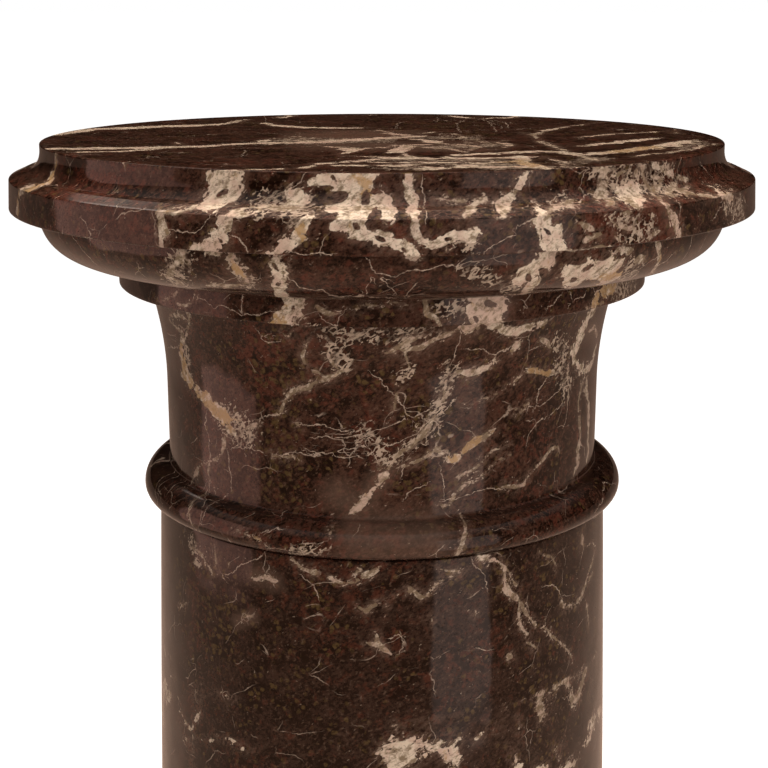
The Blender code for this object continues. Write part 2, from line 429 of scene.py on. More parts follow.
RING_VEINS = (
    hair((-55, 61), (-50, 61)),
    broad(0.8, (-50, 73), (-47.5, 71.5), (-44.5, 69), (-43, 65.5)),
    broad(0.9, (-43.5, 73), (-41, 72), (-39.5, 70.5), (-38.3, 67)),
    hair((-38, 68), (-35, 70)),
    hair((-33, 71), (-31.5, 70), (-29, 71), (-27.5, 73), (-25, 73), (-21.5, 70.5)),
    hair((-27, 62), (-27, 73)),
    broad(6.6, (-15.6, 66), (-17.4, 70)),
    broad(7.6, (-17.6, 71), (-19.4, 76)),
    broad(3.2, (-14.6, 60), (-15, 65)),
    island(1.2, (-16.4, 67), (-16.8, 69.5)),
    ochre(6, (-20, 70), (-20.5, 75)),
    rose(6, (-14, 66), (-16, 72)),
    broad(1.2, (-12, 66), (-10.5, 69), (-9, 70), (-7, 68)),
    broad(0.6, (-5, 68), (-3, 65), (0, 66), (2, 64), (5, 65)),
    hair((-11, 71), (-10, 74), (-8, 75), (-7.5, 71), (-7, 69)),
    hair((-5, 61), (0, 61), (2.5, 62)),
    broad(1.2, (7.7, 61), (8, 69), (9, 70), (10, 72), (11, 77)),
    lattice(6, (11, 68), (15, 68)),
    broad(12.5, (21.5, 62), (20.5, 69)),
    broad(12, (20.5, 69), (19.3, 77)),
    rose(11, (22, 62), (19, 76)),
    island(1.9, (19.5, 66), (21.5, 67)),
    island(1.1, (23.4, 65), (24.4, 68)),
    island(1.0, (17.4, 72), (18.2, 74)),
    hair((34, 71), (35, 69.5), (36, 67)),
    hair((38.5, 66), (39.6, 69)),
    hair((39.5, 71.5), (41, 70), (43, 67)),
    broad(4.6, (46, 74), (48.4, 69)),
    broad(3.4, (48.4, 69), (53.5, 67)),
    ochre(8, (46, 73), (53, 67)),
    broad(1.6, (43.5, 74.4), (50, 74.4)),
    lattice(8, (55, 70), (65, 71)),
    rose(8, (55, 71), (65, 72)),
)

NECK_VEINS = (
    broad(1.9, (-51, 78), (-51, 85), (-51.6, 88)),
    broad(1.3, (-51.6, 88), (-53, 93), (-55, 96)),
    broad(1.1, (-52, 85), (-55, 85.5), (-58, 86), (-62, 88)),
    broad(0.8, (-62, 88), (-62, 91), (-58, 93), (-55, 94)),
    broad(2.0, (-55, 96), (-57, 98), (-58.5, 102)),
    broad(5.2, (-58.5, 103), (-58.6, 116)),
    island(0.9, (-57.4, 106), (-57.8, 109)),
    ochre(6, (-58, 102), (-58.6, 116)),
    lattice(5, (-55.6, 100), (-55.4, 118)),
    broad(3.6, (-60.5, 119), (-55, 122), (-50, 126)),
    broad(4.4, (-50, 126), (-46, 129.5)),
    broad(5.4, (-46, 130), (-40.5, 133.5)),
    ochre(7, (-58, 120), (-40, 135)),
    lattice(13, (-40, 136), (-34.5, 140)),
    broad(2.2, (-40, 134), (-36, 133)),
    broad(2.0, (-41, 138), (-38, 142)),
    broad(1.3, (-37, 137), (-33, 136), (-31, 133.5)),
    broad(1.2, (-41.6, 143), (-42, 150), (-43.5, 155)),
    broad(1.0, (-43.5, 155), (-46, 158), (-49, 161)),
    broad(1.2, (-49, 161), (-52, 165), (-54, 169), (-56, 173), (-57.5, 178)),
    hair((-42, 151), (-38, 149), (-33, 147), (-30, 149)),
    hair((-60, 102), (-63, 105), (-66, 107), (-73, 110)),
    hair((-62, 98), (-67, 100)),
    hair((-48.5, 136), (-49, 142), (-48, 148), (-48, 158)),
    broad(0.6, (-48, 159), (-48.3, 166), (-47.5, 171), (-46, 176)),
    hair((-40.5, 153), (-40, 162), (-39.7, 168), (-40, 171)),
    hair((-28.5, 84), (-27, 86), (-25.5, 84)),
    hair((-27.5, 88), (-26, 91), (-24, 89)),
    hair((-30, 131), (-27, 128), (-25, 127)),
    broad(1.1, (-27, 149), (-20, 149)),
    hair((-25, 148), (-14, 146), (-8, 142), (-4, 139)),
    hair((-18, 143), (-12, 146), (-5, 147)),
    moss(16, (-22, 88), (-22, 112)),
    moss(14, (-24, 132), (-23, 168)),
    moss(9, (-3, 102), (-3, 126)),
    moss(10, (8, 106), (8, 124)),
    rust(14, (-31, 98), (-28, 112)),
    rust(10, (-2, 132), (0, 150)),
    broad(0.7, (-22.5, 84), (-21.5, 86), (-20.5, 83)),
    lattice(9, (-13, 80), (-9, 84)),
    lattice(8, (-11, 84), (-9, 98)),
    broad(0.9, (-12, 92), (-11, 99), (-9.6, 102)),
    broad(0.7, (-16.5, 87), (-17, 91), (-18, 95), (-17.5, 99)),
    broad(0.9, (-16, 102), (-14.5, 103.4)),
    broad(1.3, (-8, 100), (-12, 105), (-15, 109)),
    broad(1.4, (-15, 109), (-18, 112), (-21, 114.5), (-23, 117)),
    broad(0.9, (-23, 117), (-24, 121), (-24.6, 125), (-26, 127)),
    broad(0.9, (-20.6, 130), (-20.2, 130.5)),
    hair((-20, 130), (-14, 131), (-8, 132)),
    lattice(6, (-8, 82), (12, 83)),
    broad(1.3, (1, 92), (4, 89), (6, 86), (8, 85)),
    broad(1.2, (4.5, 91), (8, 90), (11, 87), (14, 83), (17, 80)),
    lattice(3.4, (5.3, 87), (6, 99), (4.4, 108)),
    broad(0.5, (5.3, 86), (5.6, 94), (6, 100), (5, 105), (4, 109)),
    hair((-2, 104), (1, 109), (3, 115), (5, 120), (7, 127)),
    broad(0.5, (3.5, 114), (3, 121), (1.5, 128)),
    lattice(9, (-4, 134), (1, 147)),
    hair((-6, 133), (-2, 138), (2, 140)),
    hair((-16, 137), (-9, 136), (-3, 134), (3, 129), (8, 126), (12, 120)),
    hair((2, 140), (8, 134), (12, 128), (17, 118)),
    hair((20, 92), (26, 95), (31, 93)),
    broad(0.5, (18, 158), (22, 155), (27, 147), (32, 144)),
    hair((-6, 139), (-3, 143), (-1, 148)),
    lattice(7, (16, 103), (14.6, 113)),
    lattice(7, (14.6, 113), (12.8, 124)),
    lattice(6, (12.8, 124), (9, 136)),
    lattice(5, (9, 136), (3, 149)),
    broad(0.9, (15.5, 105), (14.8, 113), (14, 119)),
    broad(1.2, (12.4, 126), (11, 132), (8, 137.5)),
    broad(1.2, (8, 138.5), (5, 143), (3, 148), (1.4, 153)),
    broad(2.9, (1, 155), (-1, 160), (-3, 165)),
    broad(2.6, (-3, 165), (-5, 170), (-7.4, 176)),
    rose(7, (1, 153), (-7, 176)),
    rose(10, (-10, 166), (-5, 172)),
    broad(1.5, (17.5, 104), (20, 105.5), (22.4, 105)),
    broad(1.9, (22.4, 105), (24.4, 102), (27, 98)),
    hair((17, 80), (17, 88), (16, 98)),
    broad(0.6, (18.5, 119), (22, 120.5), (26, 118.5), (30, 116)),
    broad(0.8, (30, 116), (33, 112), (36, 108.5)),
    broad(1.7, (36, 107.6), (39, 109), (42, 110.6), (46, 112)),
    ochre(4, (38, 109), (43, 111)),
    broad(1.4, (12.6, 142), (14, 145), (15.4, 148)),
    broad(2.5, (15.4, 148), (17, 149.4), (19, 147)),
    broad(1.7, (19, 147), (21, 143), (25, 139), (28, 135)),
    ochre(5, (17, 148), (23, 141)),
    broad(0.7, (4, 152), (7, 149), (10, 146), (12, 143.6)),
    hair((5, 152), (4.6, 157)),
    hair((14, 153), (15, 158), (14.5, 166)),
    broad(1.2, (13, 173), (16, 171), (18, 166)),
    broad(0.8, (18, 166), (20, 162), (23, 160), (26, 156), (29, 153), (33, 150)),
    hair((15, 170), (20, 168), (25, 165), (30, 168)),
    hair((6, 167), (8, 163), (10, 161)),
    broad(2.4, (23, 78), (27, 83), (30, 86)),
    broad(2.4, (30, 86), (34, 84.4), (40, 82)),
    broad(1.9, (31, 95), (33.2, 91.4)),
    broad(1.4, (39.5, 92), (42, 95), (43, 98)),
    broad(0.8, (33.5, 129.4), (36, 128), (38, 125)),
    broad(0.7, (33.5, 127), (36, 125.6), (38, 124.6)),
    hair((36, 128), (40, 127), (45, 126), (50, 122), (53, 122)),
    hair((40, 128), (41, 122), (43, 115)),
    lattice(8, (46, 96), (50, 101)),
    lattice(9, (48, 108), (52, 120)),
    broad(1.0, (52.2, 110), (52.5, 120), (53, 130)),
    hair((53, 130), (53, 134), (51.5, 142)),
    broad(4.3, (61, 82), (58, 86), (56.5, 92)),
    broad(3.9, (56.5, 92), (55, 98), (54, 107)),
    broad(3.3, (54.6, 109), (57.5, 113), (61, 117)),
    broad(3.0, (61, 117), (65, 117), (69, 113), (71, 108)),
    broad(1.8, (59.5, 94), (64, 96), (69, 102)),
    rose(7, (60, 94), (69, 102)),
    lattice(6, (62, 122), (63, 128)),
    broad(2.2, (64, 122), (65, 130), (66, 136)),
    broad(2.4, (66.4, 137), (67.5, 146), (67.5, 155)),
    broad(2.0, (67.5, 155), (68, 165), (67, 172)),
    broad(1.1, (62, 123), (60, 128), (59, 133), (60, 141)),
    broad(1.3, (60, 141), (60.5, 148), (61, 154)),
    broad(2.0, (61, 154), (60, 160), (60, 168)),
    hair((61, 157), (64, 162), (65.5, 168)),
    hair((38, 147), (39, 141), (41, 137), (44, 135)),
    hair((50, 130), (48, 132), (46, 135)),
    broad(0.8, (29.5, 167), (33, 168), (37, 167), (39, 163)),
    broad(0.8, (39, 163), (42, 158), (45, 154), (49, 153), (50, 157)),
    ochre(4, (33, 155), (36, 155)),
    broad(0.9, (57, 175), (58.5, 170), (61, 168)),
)

BEAD_VEINS = (
    hair((-69, 177), (-68, 183), (-66, 187), (-64, 188)),
    hair((-65, 178), (-65.5, 183), (-62, 186), (-60.5, 188)),
    hair((-60, 178), (-59.5, 182)),
    broad(0.7, (-48, 176), (-49, 181), (-48.5, 186), (-47, 190), (-45.5, 193)),
    hair((-42, 176), (-43.5, 181), (-43, 186)),
    broad(0.6, (-34, 187), (-30, 187.5)),
    broad(0.7, (-29, 188.5), (-27, 189), (-25.5, 191)),
    ochre(3, (-29, 188.5), (-27, 189)),
    hair((-26, 186), (-24, 184), (-22, 183)),
    hair((-17, 189), (-12, 186)),
    lattice(5, (-19, 192), (-12, 191)),
    broad(0.9, (-11, 183), (-10.5, 180)),
    broad(1.1, (18.5, 178), (18, 184), (17, 189), (16, 194)),
    hair((57, 190), (60, 188), (63, 184), (66, 182), (70, 184), (74, 188)),
    rose(13, (-5, 184), (10, 184)),
)

SHAFT_VEINS = (
    broad(0.7, (-53, 209), (-50, 209)),
    broad(1.1, (-50, 209), (-48, 211), (-46, 215), (-44, 219)),
    broad(0.7, (-43.5, 201), (-43, 210), (-43, 217)),
    lattice(6, (-52, 206), (-50, 216)),
    hair((-39, 216), (-36, 211), (-32, 206), (-29, 201)),
    hair((-41, 217), (-39.5, 220)),
    broad(1.5, (-31, 214), (-28, 212.6), (-25, 214)),
    hair((-27.5, 206), (-27.6, 212)),
    rose(7, (-30, 212), (-26, 214)),
    broad(0.9, (-36, 241), (-33, 236.4), (-31, 235)),
    rose(5, (-36, 241), (-31, 235)),
    rust(13, (-51, 225), (-51, 262)),
    broad(0.8, (-60, 248), (-58, 246), (-55, 243)),
    moss(12, (-41, 225), (-41, 265)),
    moss(12, (-14, 216), (-12, 236)),
    broad(0.9, (-21, 199), (-18, 204), (-14, 206)),
    broad(1.4, (-12, 208), (-9, 210), (-5, 208)),
    broad(1.5, (-5, 208), (-2, 204), (0.5, 199)),
    broad(0.9, (-6.5, 206), (-4.5, 201)),
    hair((-18, 208), (-15.5, 212), (-14.5, 218)),
    broad(0.8, (-5.5, 223), (-3.5, 225), (-2.5, 222), (1, 219)),
    broad(0.7, (1, 219), (5, 215), (7, 213.4)),
    broad(0.9, (5.5, 211), (7, 214), (9, 217), (10.5, 217)),
    broad(0.7, (10, 215), (12, 211), (14, 209), (19, 206)),
    broad(0.7, (13, 203), (17, 205), (19, 206)),
    hair((21, 200), (22.5, 206), (24, 210), (25, 217)),
    broad(0.8, (0.7, 223), (1.2, 223.3)),
    broad(0.8, (11, 229), (11.4, 232)),
    broad(0.9, (21, 230), (22, 229.6)),
    broad(1.3, (-1.5, 236), (-0.5, 241), (2, 247)),
    broad(0.8, (-3.5, 241), (0, 242.4)),
    rust(6, (3.4, 238), (3.6, 246)),
    hair((2.4, 238), (4.4, 237), (5.4, 241), (4, 246)),
    hair((22, 248), (25, 250)),
    broad(0.6, (40, 205), (44, 210), (46, 217)),
    broad(2.2, (22.5, 199.6), (26, 202.4), (28, 204.6)),
    broad(1.6, (28, 204.6), (29.4, 208), (29, 213)),
    broad(1.8, (29, 213), (29.2, 218), (31, 222)),
    broad(1.3, (31, 222), (33, 228)),
    broad(0.8, (30, 208), (31, 214), (33, 219)),
    broad(0.8, (33, 228), (33.5, 236), (34.5, 243), (36, 247)),
    broad(1.1, (33, 228), (35, 233), (37, 238), (39, 244)),
    broad(1.0, (39, 244), (42, 249), (44, 254), (47, 259), (49, 263), (53, 275)),
    broad(0.7, (36, 252), (39, 258)),
    broad(2.0, (30.6, 256), (31.6, 257.4)),
    hair((42, 224), (45, 226), (47, 233)),
    broad(1.0, (47.5, 236), (49, 240), (52, 242), (54, 242.5)),
    broad(1.2, (54, 242.5), (57, 240), (59, 236), (61, 231)),
    broad(1.0, (61, 231), (63, 228), (66, 222)),
    broad(0.9, (58, 238), (62, 234), (65, 232)),
    broad(0.8, (60, 215), (65, 216), (67, 220)),
    broad(0.9, (60, 246), (60.5, 253), (62, 261)),
    broad(1.6, (57.4, 205), (57.8, 212)),
    rose(6, (57.4, 205), (57.8, 212)),
)


# The wandering of drawn lines; pitches are millimetres for one radian, and none fits into another
SLOW_PITCH = 6.1
SLOW_CROSS_PITCH = 7.7
SLOW_TWIST = 1.6
SLOW_SHARE = 0.62
QUICK_PITCH = 2.9
QUICK_CROSS_PITCH = 3.7
QUICK_TWIST = 1.4
QUICK_SHARE = 0.38


def wander(first: np.ndarray, second: np.ndarray, phase: float) -> np.ndarray:
    """Gives a smooth unevenness between about -1 and 1.

    Args:
        first: Place along one direction, in millimetres.
        second: Place along the other direction, in millimetres.
        phase: Shifts the pattern, so that two calls differ.

    Returns:
        One value for each place.
    """
    slow_twist = SLOW_TWIST * np.sin(second / SLOW_CROSS_PITCH + phase)
    slow = np.sin(first / SLOW_PITCH + slow_twist + phase)
    quick_twist = QUICK_TWIST * np.sin(first / QUICK_CROSS_PITCH - phase)
    quick = np.sin(second / QUICK_PITCH + quick_twist + 2.0 * phase)
    return SLOW_SHARE * slow + QUICK_SHARE * quick


class VeinMap:
    """Turns strokes into numbers on vertices, one number for each kind of mark."""

    CUTOFF = 26.0           # millimetres beyond which a stroke is not looked at
    SCALE_MARGIN = 1.3      # widens the cutoff sideways, because the scale differs between vertices
    SHORTEST = 1e-6         # square millimetres, so that a stroke of no length divides nothing by zero
    WANDER_REACH = 0.9      # millimetres by which a drawn line strays from its stroke
    SWELL_REACH = 0.34      # share by which a drawn vein grows wider and narrower
    SWELL_CLOSENESS = 1.4   # how much closer those changes stand than the bends
    WANDER_PHASES = (0.4, 2.3, 4.1)     # across, along and for the swelling
    TAPER_REACH = 0.45      # share of its half width that a vein loses at its ends
    TAPER_POWER = 4
    STAIN_REACH = 1.3       # half widths at which a stain has died away
    USUAL_GIRTH = 6.0       # millimetres, where no vein is drawn
    ZONES = (Mark.OCHRE, Mark.ROSE, Mark.RUST, Mark.MOSS, Mark.LATTICE)

    def __init__(self, across: np.ndarray, along: np.ndarray, scale: np.ndarray) -> None:
        """Takes the places of the vertices.

        Args:
            across: Degrees round the column, or millimetres to the right on the flat top.
            along: Millimetres below the top face, or millimetres behind the axis on the flat top.
            scale: Millimetres for one unit of across, at each vertex.
        """
        flat = across * scale
        across_phase, along_phase, swell_phase = self.WANDER_PHASES
        self.across = across + self.WANDER_REACH * wander(flat, along, across_phase) / scale
        self.along = along + self.WANDER_REACH * wander(along, flat, along_phase)
        self.scale = scale
        closeness = self.SWELL_CLOSENESS
        self.swell = 1.0 + self.SWELL_REACH * wander(flat * closeness, along * closeness, swell_phase)
        count = len(across)
        self.vein = np.full(count, FAR)
        self.girth = np.full(count, self.USUAL_GIRTH)
        self.island = np.full(count, FAR)
        self.near = np.full(count, FAR)
        self.side = np.full(count, FAR)
        self.zones = {mark: np.zeros(count) for mark in self.ZONES}

    def _segment(self, start: Point, end: Point) -> tuple[np.ndarray, ...]:
        """Measures vertices against one straight piece of a stroke.

        Args:
            start: First end, in the units of the map.
            end: Second end.

        Returns:
            Indices of the vertices nearby, their distances, their signed sides and their shares along.
        """
        reach = self.CUTOFF
        reach_across = reach / float(np.median(self.scale)) * self.SCALE_MARGIN
        low = min(start[0], end[0]) - reach_across
        high = max(start[0], end[0]) + reach_across
        chosen = np.nonzero(
            (self.across > low) & (self.across < high)
            & (self.along > min(start[1], end[1]) - reach)
            & (self.along < max(start[1], end[1]) + reach))[0]
        scale = self.scale[chosen]
        point_x = (self.across[chosen] - start[0]) * scale
        point_y = self.along[chosen] - start[1]
        run_x = (end[0] - start[0]) * scale
        run_y = end[1] - start[1]
        length_squared = np.maximum(run_x ** 2 + run_y ** 2, self.SHORTEST)
        share = np.clip((point_x * run_x + point_y * run_y) / length_squared, 0.0, 1.0)
        off_x = point_x - share * run_x
        off_y = point_y - share * run_y
        distance = np.hypot(off_x, off_y)
        side = np.sign(run_x * point_y - run_y * point_x)
        side[side == 0] = 1.0
        return chosen, distance, side * distance, share

    def draw(self, stroke: Stroke) -> None:
        """Adds one stroke to the numbers.

        Args:
            stroke: The vein, patch or stain to add.
        """
        pieces = len(stroke.path) - 1
        for step, (start, end) in enumerate(zip(stroke.path, stroke.path[1:])):
            chosen, distance, side, share = self._segment(start, end)
            if stroke.mark is Mark.HAIR:
                closer = distance < self.near[chosen]
                self.near[chosen[closer]] = distance[closer]
                self.side[chosen[closer]] = side[closer]
                continue
            if stroke.mark in self.zones:
                weight = np.clip(self.STAIN_REACH - distance / stroke.half_width, 0.0, 1.0)
                zone = self.zones[stroke.mark]
                zone[chosen] = np.maximum(zone[chosen], weight)
                continue
            travelled = (step + share) / pieces
            taper = 1.0 - self.TAPER_REACH * np.abs(2.0 * travelled - 1.0) ** self.TAPER_POWER
            past_edge = distance - stroke.half_width * taper * self.swell[chosen]
            target = self.vein if stroke.mark is Mark.BROAD else self.island
            closer = past_edge < target[chosen]
            target[chosen[closer]] = past_edge[closer]
            if stroke.mark is Mark.BROAD:
                self.girth[chosen[closer]] = stroke.half_width

    def draw_all(self, strokes: tuple[Stroke, ...]) -> None:
        """Adds every stroke of a table."""
        for stroke in strokes:
            self.draw(stroke)

    def channels(self) -> dict[str, np.ndarray]:
        """Collects the numbers.

        Returns:
            The numbers by the names that the shader reads.
        """
        table = {"vein": self.vein, "girth": self.girth, "island": self.island,
                 "near": self.near, "side": self.side}
        for mark, zone in self.zones.items():
            table[mark.value] = zone
        return table


class Outline:
    """Half of a turned block's outline, drawn down its outer side, with a ring for every short step.

    Depth is counted downwards in metres. Each call goes on from where the last one ended.
    """

    FEWEST_STEPS = 3        # that a curve gets
    SAMPLES = 400           # points that a curve is measured with

    def __init__(self, pitch: float, depth: float = 0.0) -> None:
        """Starts on the axis.

        Args:
            pitch: Usual distance between two rings.
            depth: Depth of the top face below the column's own top.
        """
        self.pitch = pitch
        self.points: list[Point] = [(0.0, depth)]

    def depth(self) -> float:
        """Depth reached so far."""
        return self.points[-1][1]

    def move(self, out: float = 0.0, down: float = 0.0, pitch: float = 0.0) -> None:
        """Runs straight, outwards and downwards.

        Args:
            out: Distance outwards, below zero for inwards.
            down: Distance downwards.
            pitch: Distance between rings, or 0 for the usual one.
        """
        radius, depth = self.points[-1]
        steps = max(1, round(math.hypot(out, down) / (pitch or self.pitch)))
        for step in range(1, steps + 1):
            share = step / steps
            self.points.append((radius + out * share, depth + down * share))

    def reach(self, radius: float, pitch: float = 0.0) -> None:
        """Runs level to a radius."""
        self.move(out=radius - self.points[-1][0], pitch=pitch)

    def quarter(self, out: float, down: float, starts_level: bool = False,
                fullness: float = 1.0) -> None:
        """Runs along a quarter ellipse that starts straight down and ends level, or the reverse.

        Args:
            out: Distance outwards over the whole curve.
            down: Distance downwards over the whole curve.
            starts_level: Whether it starts level and ends straight down.
            fullness: 1 for a plain ellipse, less for a fuller curve.
        """
        radius, depth = self.points[-1]
        angle = np.linspace(0.0, math.pi / 2, self.SAMPLES)
        rise = np.clip(np.sin(angle), 0.0, 1.0) ** fullness
        fall = 1.0 - np.clip(np.cos(angle), 0.0, 1.0) ** fullness
        along_radius, along_depth = (rise, fall) if starts_level else (fall, rise)
        xs = radius + out * along_radius
        ys = depth + down * along_depth
        length = np.concatenate(([0.0], np.cumsum(np.hypot(np.diff(xs), np.diff(ys)))))
        steps = max(self.FEWEST_STEPS, round(length[-1] / self.pitch))
        wanted = np.linspace(0.0, length[-1], steps + 1)[1:]
        self.points.extend(zip(np.interp(wanted, length, xs), np.interp(wanted, length, ys)))

    def half_round(self, projection: float, height: float) -> None:
        """Runs round a bead that stands out and comes back to the radius it left."""
        self.quarter(projection, height / 2, starts_level=True)
        self.quarter(-projection, height / 2)

    def close(self) -> None:
        """Runs level back to the axis in one step."""
        self.points.append((0.0, self.depth()))


@dataclass(frozen=True)
class Columns:
    """Where the upright lines of a turned mesh stand, closer together at the front."""

    front_half_angle: float = 78.0
    front_step: float = 0.45
    rear_step: float = 2.6

    def angles(self) -> np.ndarray:
        """Spaces the lines out.

        Returns:
            Angles in degrees to the right of the front, from -180 up to but not with 180.
        """
        front = np.linspace(-self.front_half_angle, self.front_half_angle,
                            round(2 * self.front_half_angle / self.front_step) + 1)
        steps = round((180.0 - self.front_half_angle) / self.rear_step)
        rear = np.linspace(self.front_half_angle, 180.0, steps + 1)
        return np.concatenate((-rear[:0:-1], front, rear[1:-1]))


@dataclass
class TurnedMesh:
    """A closed mesh turned from an outline."""

    # Where the drawn veins give way to the stone's own
    SIDES_FROM = 66.0       # degrees from the front
    SIDES_OVER = 12.0       # degrees that the change takes
    FOOT_OVER = 14.0        # millimetres that it takes at the drawn part's foot
    LEAST_RADIUS = 0.02     # metres, so that degrees keep a length near the axis
    LEVEL_WITHIN = EASE * 0.3   # depth down to which a vertex counts as the flat top
    ROUNDING = 1e-9         # metres, depths closer than this are the same

    # The unrolled map, in shares of its side: the strip below, the two discs above it
    STRIP_LEFT = 0.01
    STRIP_WIDTH = 0.98
    STRIP_FOOT = 0.02
    STRIP_HEIGHT = 0.54
    DISC_RADIUS = 0.2
    DISC_MIDDLE = 0.79
    CROWN_DISC = 0.25
    FOOT_DISC = 0.75

    name: str
    outline: Outline
    columns: Columns
    top: float              # height of the column's own top face
    sharp_angle: float = math.radians(32)
    radius: np.ndarray = field(init=False, repr=False)      # of every vertex, as are the next two
    depth: np.ndarray = field(init=False, repr=False)
    angle: np.ndarray = field(init=False, repr=False)

    def build(self) -> bpy.types.Object:
        """Makes the object.

        Returns:
            The object, linked to the scene, with its unrolled map.
        """
        points = self.outline.points
        rings = points[1:-1]
        angles = self.columns.angles()
        radii = np.array([ring[0] for ring in rings])
        depths = np.array([ring[1] for ring in rings])

        # The rings from the top down, then the middle of the top and the middle of the foot
        self.radius = np.append(np.repeat(radii, len(angles)), (0.0, 0.0))
        self.depth = np.append(np.repeat(depths, len(angles)), (points[0][1], points[-1][1]))
        self.angle = np.append(np.tile(angles, len(rings)), (0.0, 0.0))
        turn = np.radians(self.angle)
        vertices = np.column_stack((
            self.radius * np.sin(turn),
            -self.radius * np.cos(turn),
            self.top - self.depth))

        mesh = bpy.data.meshes.new(self.name)
        mesh.from_pydata(vertices.tolist(), [], self._faces(len(rings), len(angles)))
        mesh.shade_smooth()
        mesh.set_sharp_from_angle(angle=self.sharp_angle)
        mesh.update()
        block = bpy.data.objects.new(self.name, mesh)
        bpy.context.collection.objects.link(block)
        self._unroll(mesh, radii, depths, len(angles))
        return block

    @staticmethod
    def _faces(rings: int, columns: int) -> list[tuple[int, ...]]:
        """Joins the vertices up.

        Args:
            rings: Number of rings.
            columns: Number of upright lines.

        Returns:
            Vertex numbers of every face: the top's fan, the bands of the side, the foot's fan.
        """
        after = [(column + 1) % columns for column in range(columns)]
        crown = rings * columns
        foot = crown + 1
        last = crown - columns
        faces: list[tuple[int, ...]] = [(crown, column, after[column]) for column in range(columns)]
        for ring in range(rings - 1):
            upper = ring * columns
            lower = upper + columns
            faces.extend(
                (upper + column, lower + column, lower + after[column], upper + after[column])
                for column in range(columns))
        faces.extend((foot, last + after[column], last + column) for column in range(columns))
        return faces

    def _unroll(self, mesh: bpy.types.Mesh, radii: np.ndarray, depths: np.ndarray,
                count: int) -> None:
        """Lays the side out as a strip and the two ends as discs, side by side on one map.

        Args:
            mesh: The turned mesh.
            radii: Radius of every ring.
            depths: Depth of every ring.
            count: Number of columns.
        """
        level = np.abs(depths - depths[0]) < self.ROUNDING
        top_rings = int(np.argmin(level)) if not level.all() else len(level)
        length = np.concatenate(([0.0], np.cumsum(np.hypot(np.diff(radii), np.diff(depths)))))
        start, stop = length[top_rings - 1], length[-1]
        widest = float(radii.max())
        layout = mesh.uv_layers.new(name="OFBake")
        loops = np.empty(len(mesh.loops), dtype=np.int64)
        mesh.loops.foreach_get("vertex_index", loops)
        starts = np.empty(len(mesh.polygons), dtype=np.int64)
        mesh.polygons.foreach_get("loop_start", starts)
        totals = np.empty(len(mesh.polygons), dtype=np.int64)
        mesh.polygons.foreach_get("loop_total", totals)
        face = np.repeat(np.arange(len(starts)), totals)
        ring = np.minimum(loops // count, len(radii) - 1)
        column = loops % count
        wraps = np.zeros(len(loops), dtype=bool)
        closing = (face % count) == count - 1
        wraps[closing & (column == 0)] = True
        sine = np.sin(np.radians(self.angle[loops]))
        cosine = np.cos(np.radians(self.angle[loops]))
        reach = self.DISC_RADIUS * (self.radius[loops] / widest)
        is_crown = face < top_rings * count
        is_foot = face >= len(starts) - count
        u = (column + np.where(wraps, count, 0)) / count
        u = np.where(is_crown, self.CROWN_DISC + reach * sine, self.STRIP_LEFT + self.STRIP_WIDTH * u)
        u = np.where(is_foot, self.FOOT_DISC + reach * sine, u)
        v = self.STRIP_FOOT + self.STRIP_HEIGHT * (1.0 - (length[ring] - start) / (stop - start))
        v = np.where(is_crown | is_foot, self.DISC_MIDDLE - reach * cosine, v)
        layout.data.foreach_set("uv", np.column_stack((u, v)).ravel().astype(np.float32))

    def vein_map(self, strokes: tuple[Stroke, ...], flat_strokes: tuple[Stroke, ...],
                 drawn_to: float) -> dict[str, np.ndarray]:
        """Works out the vein numbers of every vertex.

        Args:
            strokes: Veins of the turned side.
            flat_strokes: Veins of the flat top.
            drawn_to: Depth down to which veins are drawn, in metres.

        Returns:
            The numbers by channel name, and how far each vertex lies in the drawn part.
        """
        depth = self.depth * MILLIMETRES
        radius = np.maximum(self.radius, self.LEAST_RADIUS) * MILLIMETRES
        side_map = VeinMap(self.angle, depth, radius * math.radians(1.0))
        side_map.draw_all(strokes)
        past_front = (np.abs(self.angle) - self.SIDES_FROM) / self.SIDES_OVER
        past_foot = (depth - drawn_to * MILLIMETRES) / self.FOOT_OVER
        sideways = 1.0 - np.clip(past_front, 0.0, 1.0)
        downwards = 1.0 - np.clip(past_foot, 0.0, 1.0)
        channels = side_map.channels()
        channels["drawn"] = sideways * downwards
        if flat_strokes:
            flat = self.depth < self.LEVEL_WITHIN
            turn = np.radians(self.angle)
            right = self.radius * np.sin(turn) * MILLIMETRES
            behind = -self.radius * np.cos(turn) * MILLIMETRES
            flat_map = VeinMap(right, behind, np.ones(len(right)))
            flat_map.draw_all(flat_strokes)
            for name, values in flat_map.channels().items():
                channels[name] = np.where(flat, values, channels[name])
            channels["drawn"] = np.where(flat, 1.0, channels["drawn"])
        return channels


def keep_channels(block: bpy.types.Object, channels: dict[str, np.ndarray]) -> None:
    """Stores the vein numbers on a mesh for the shader to read.

    Args:
        block: The object that gets them.
        channels: Values for every vertex, by name.
    """
    for name, values in channels.items():
        layer = block.data.attributes.new(name=name, type="FLOAT", domain="POINT")
        layer.data.foreach_set("value", values.astype(np.float32))


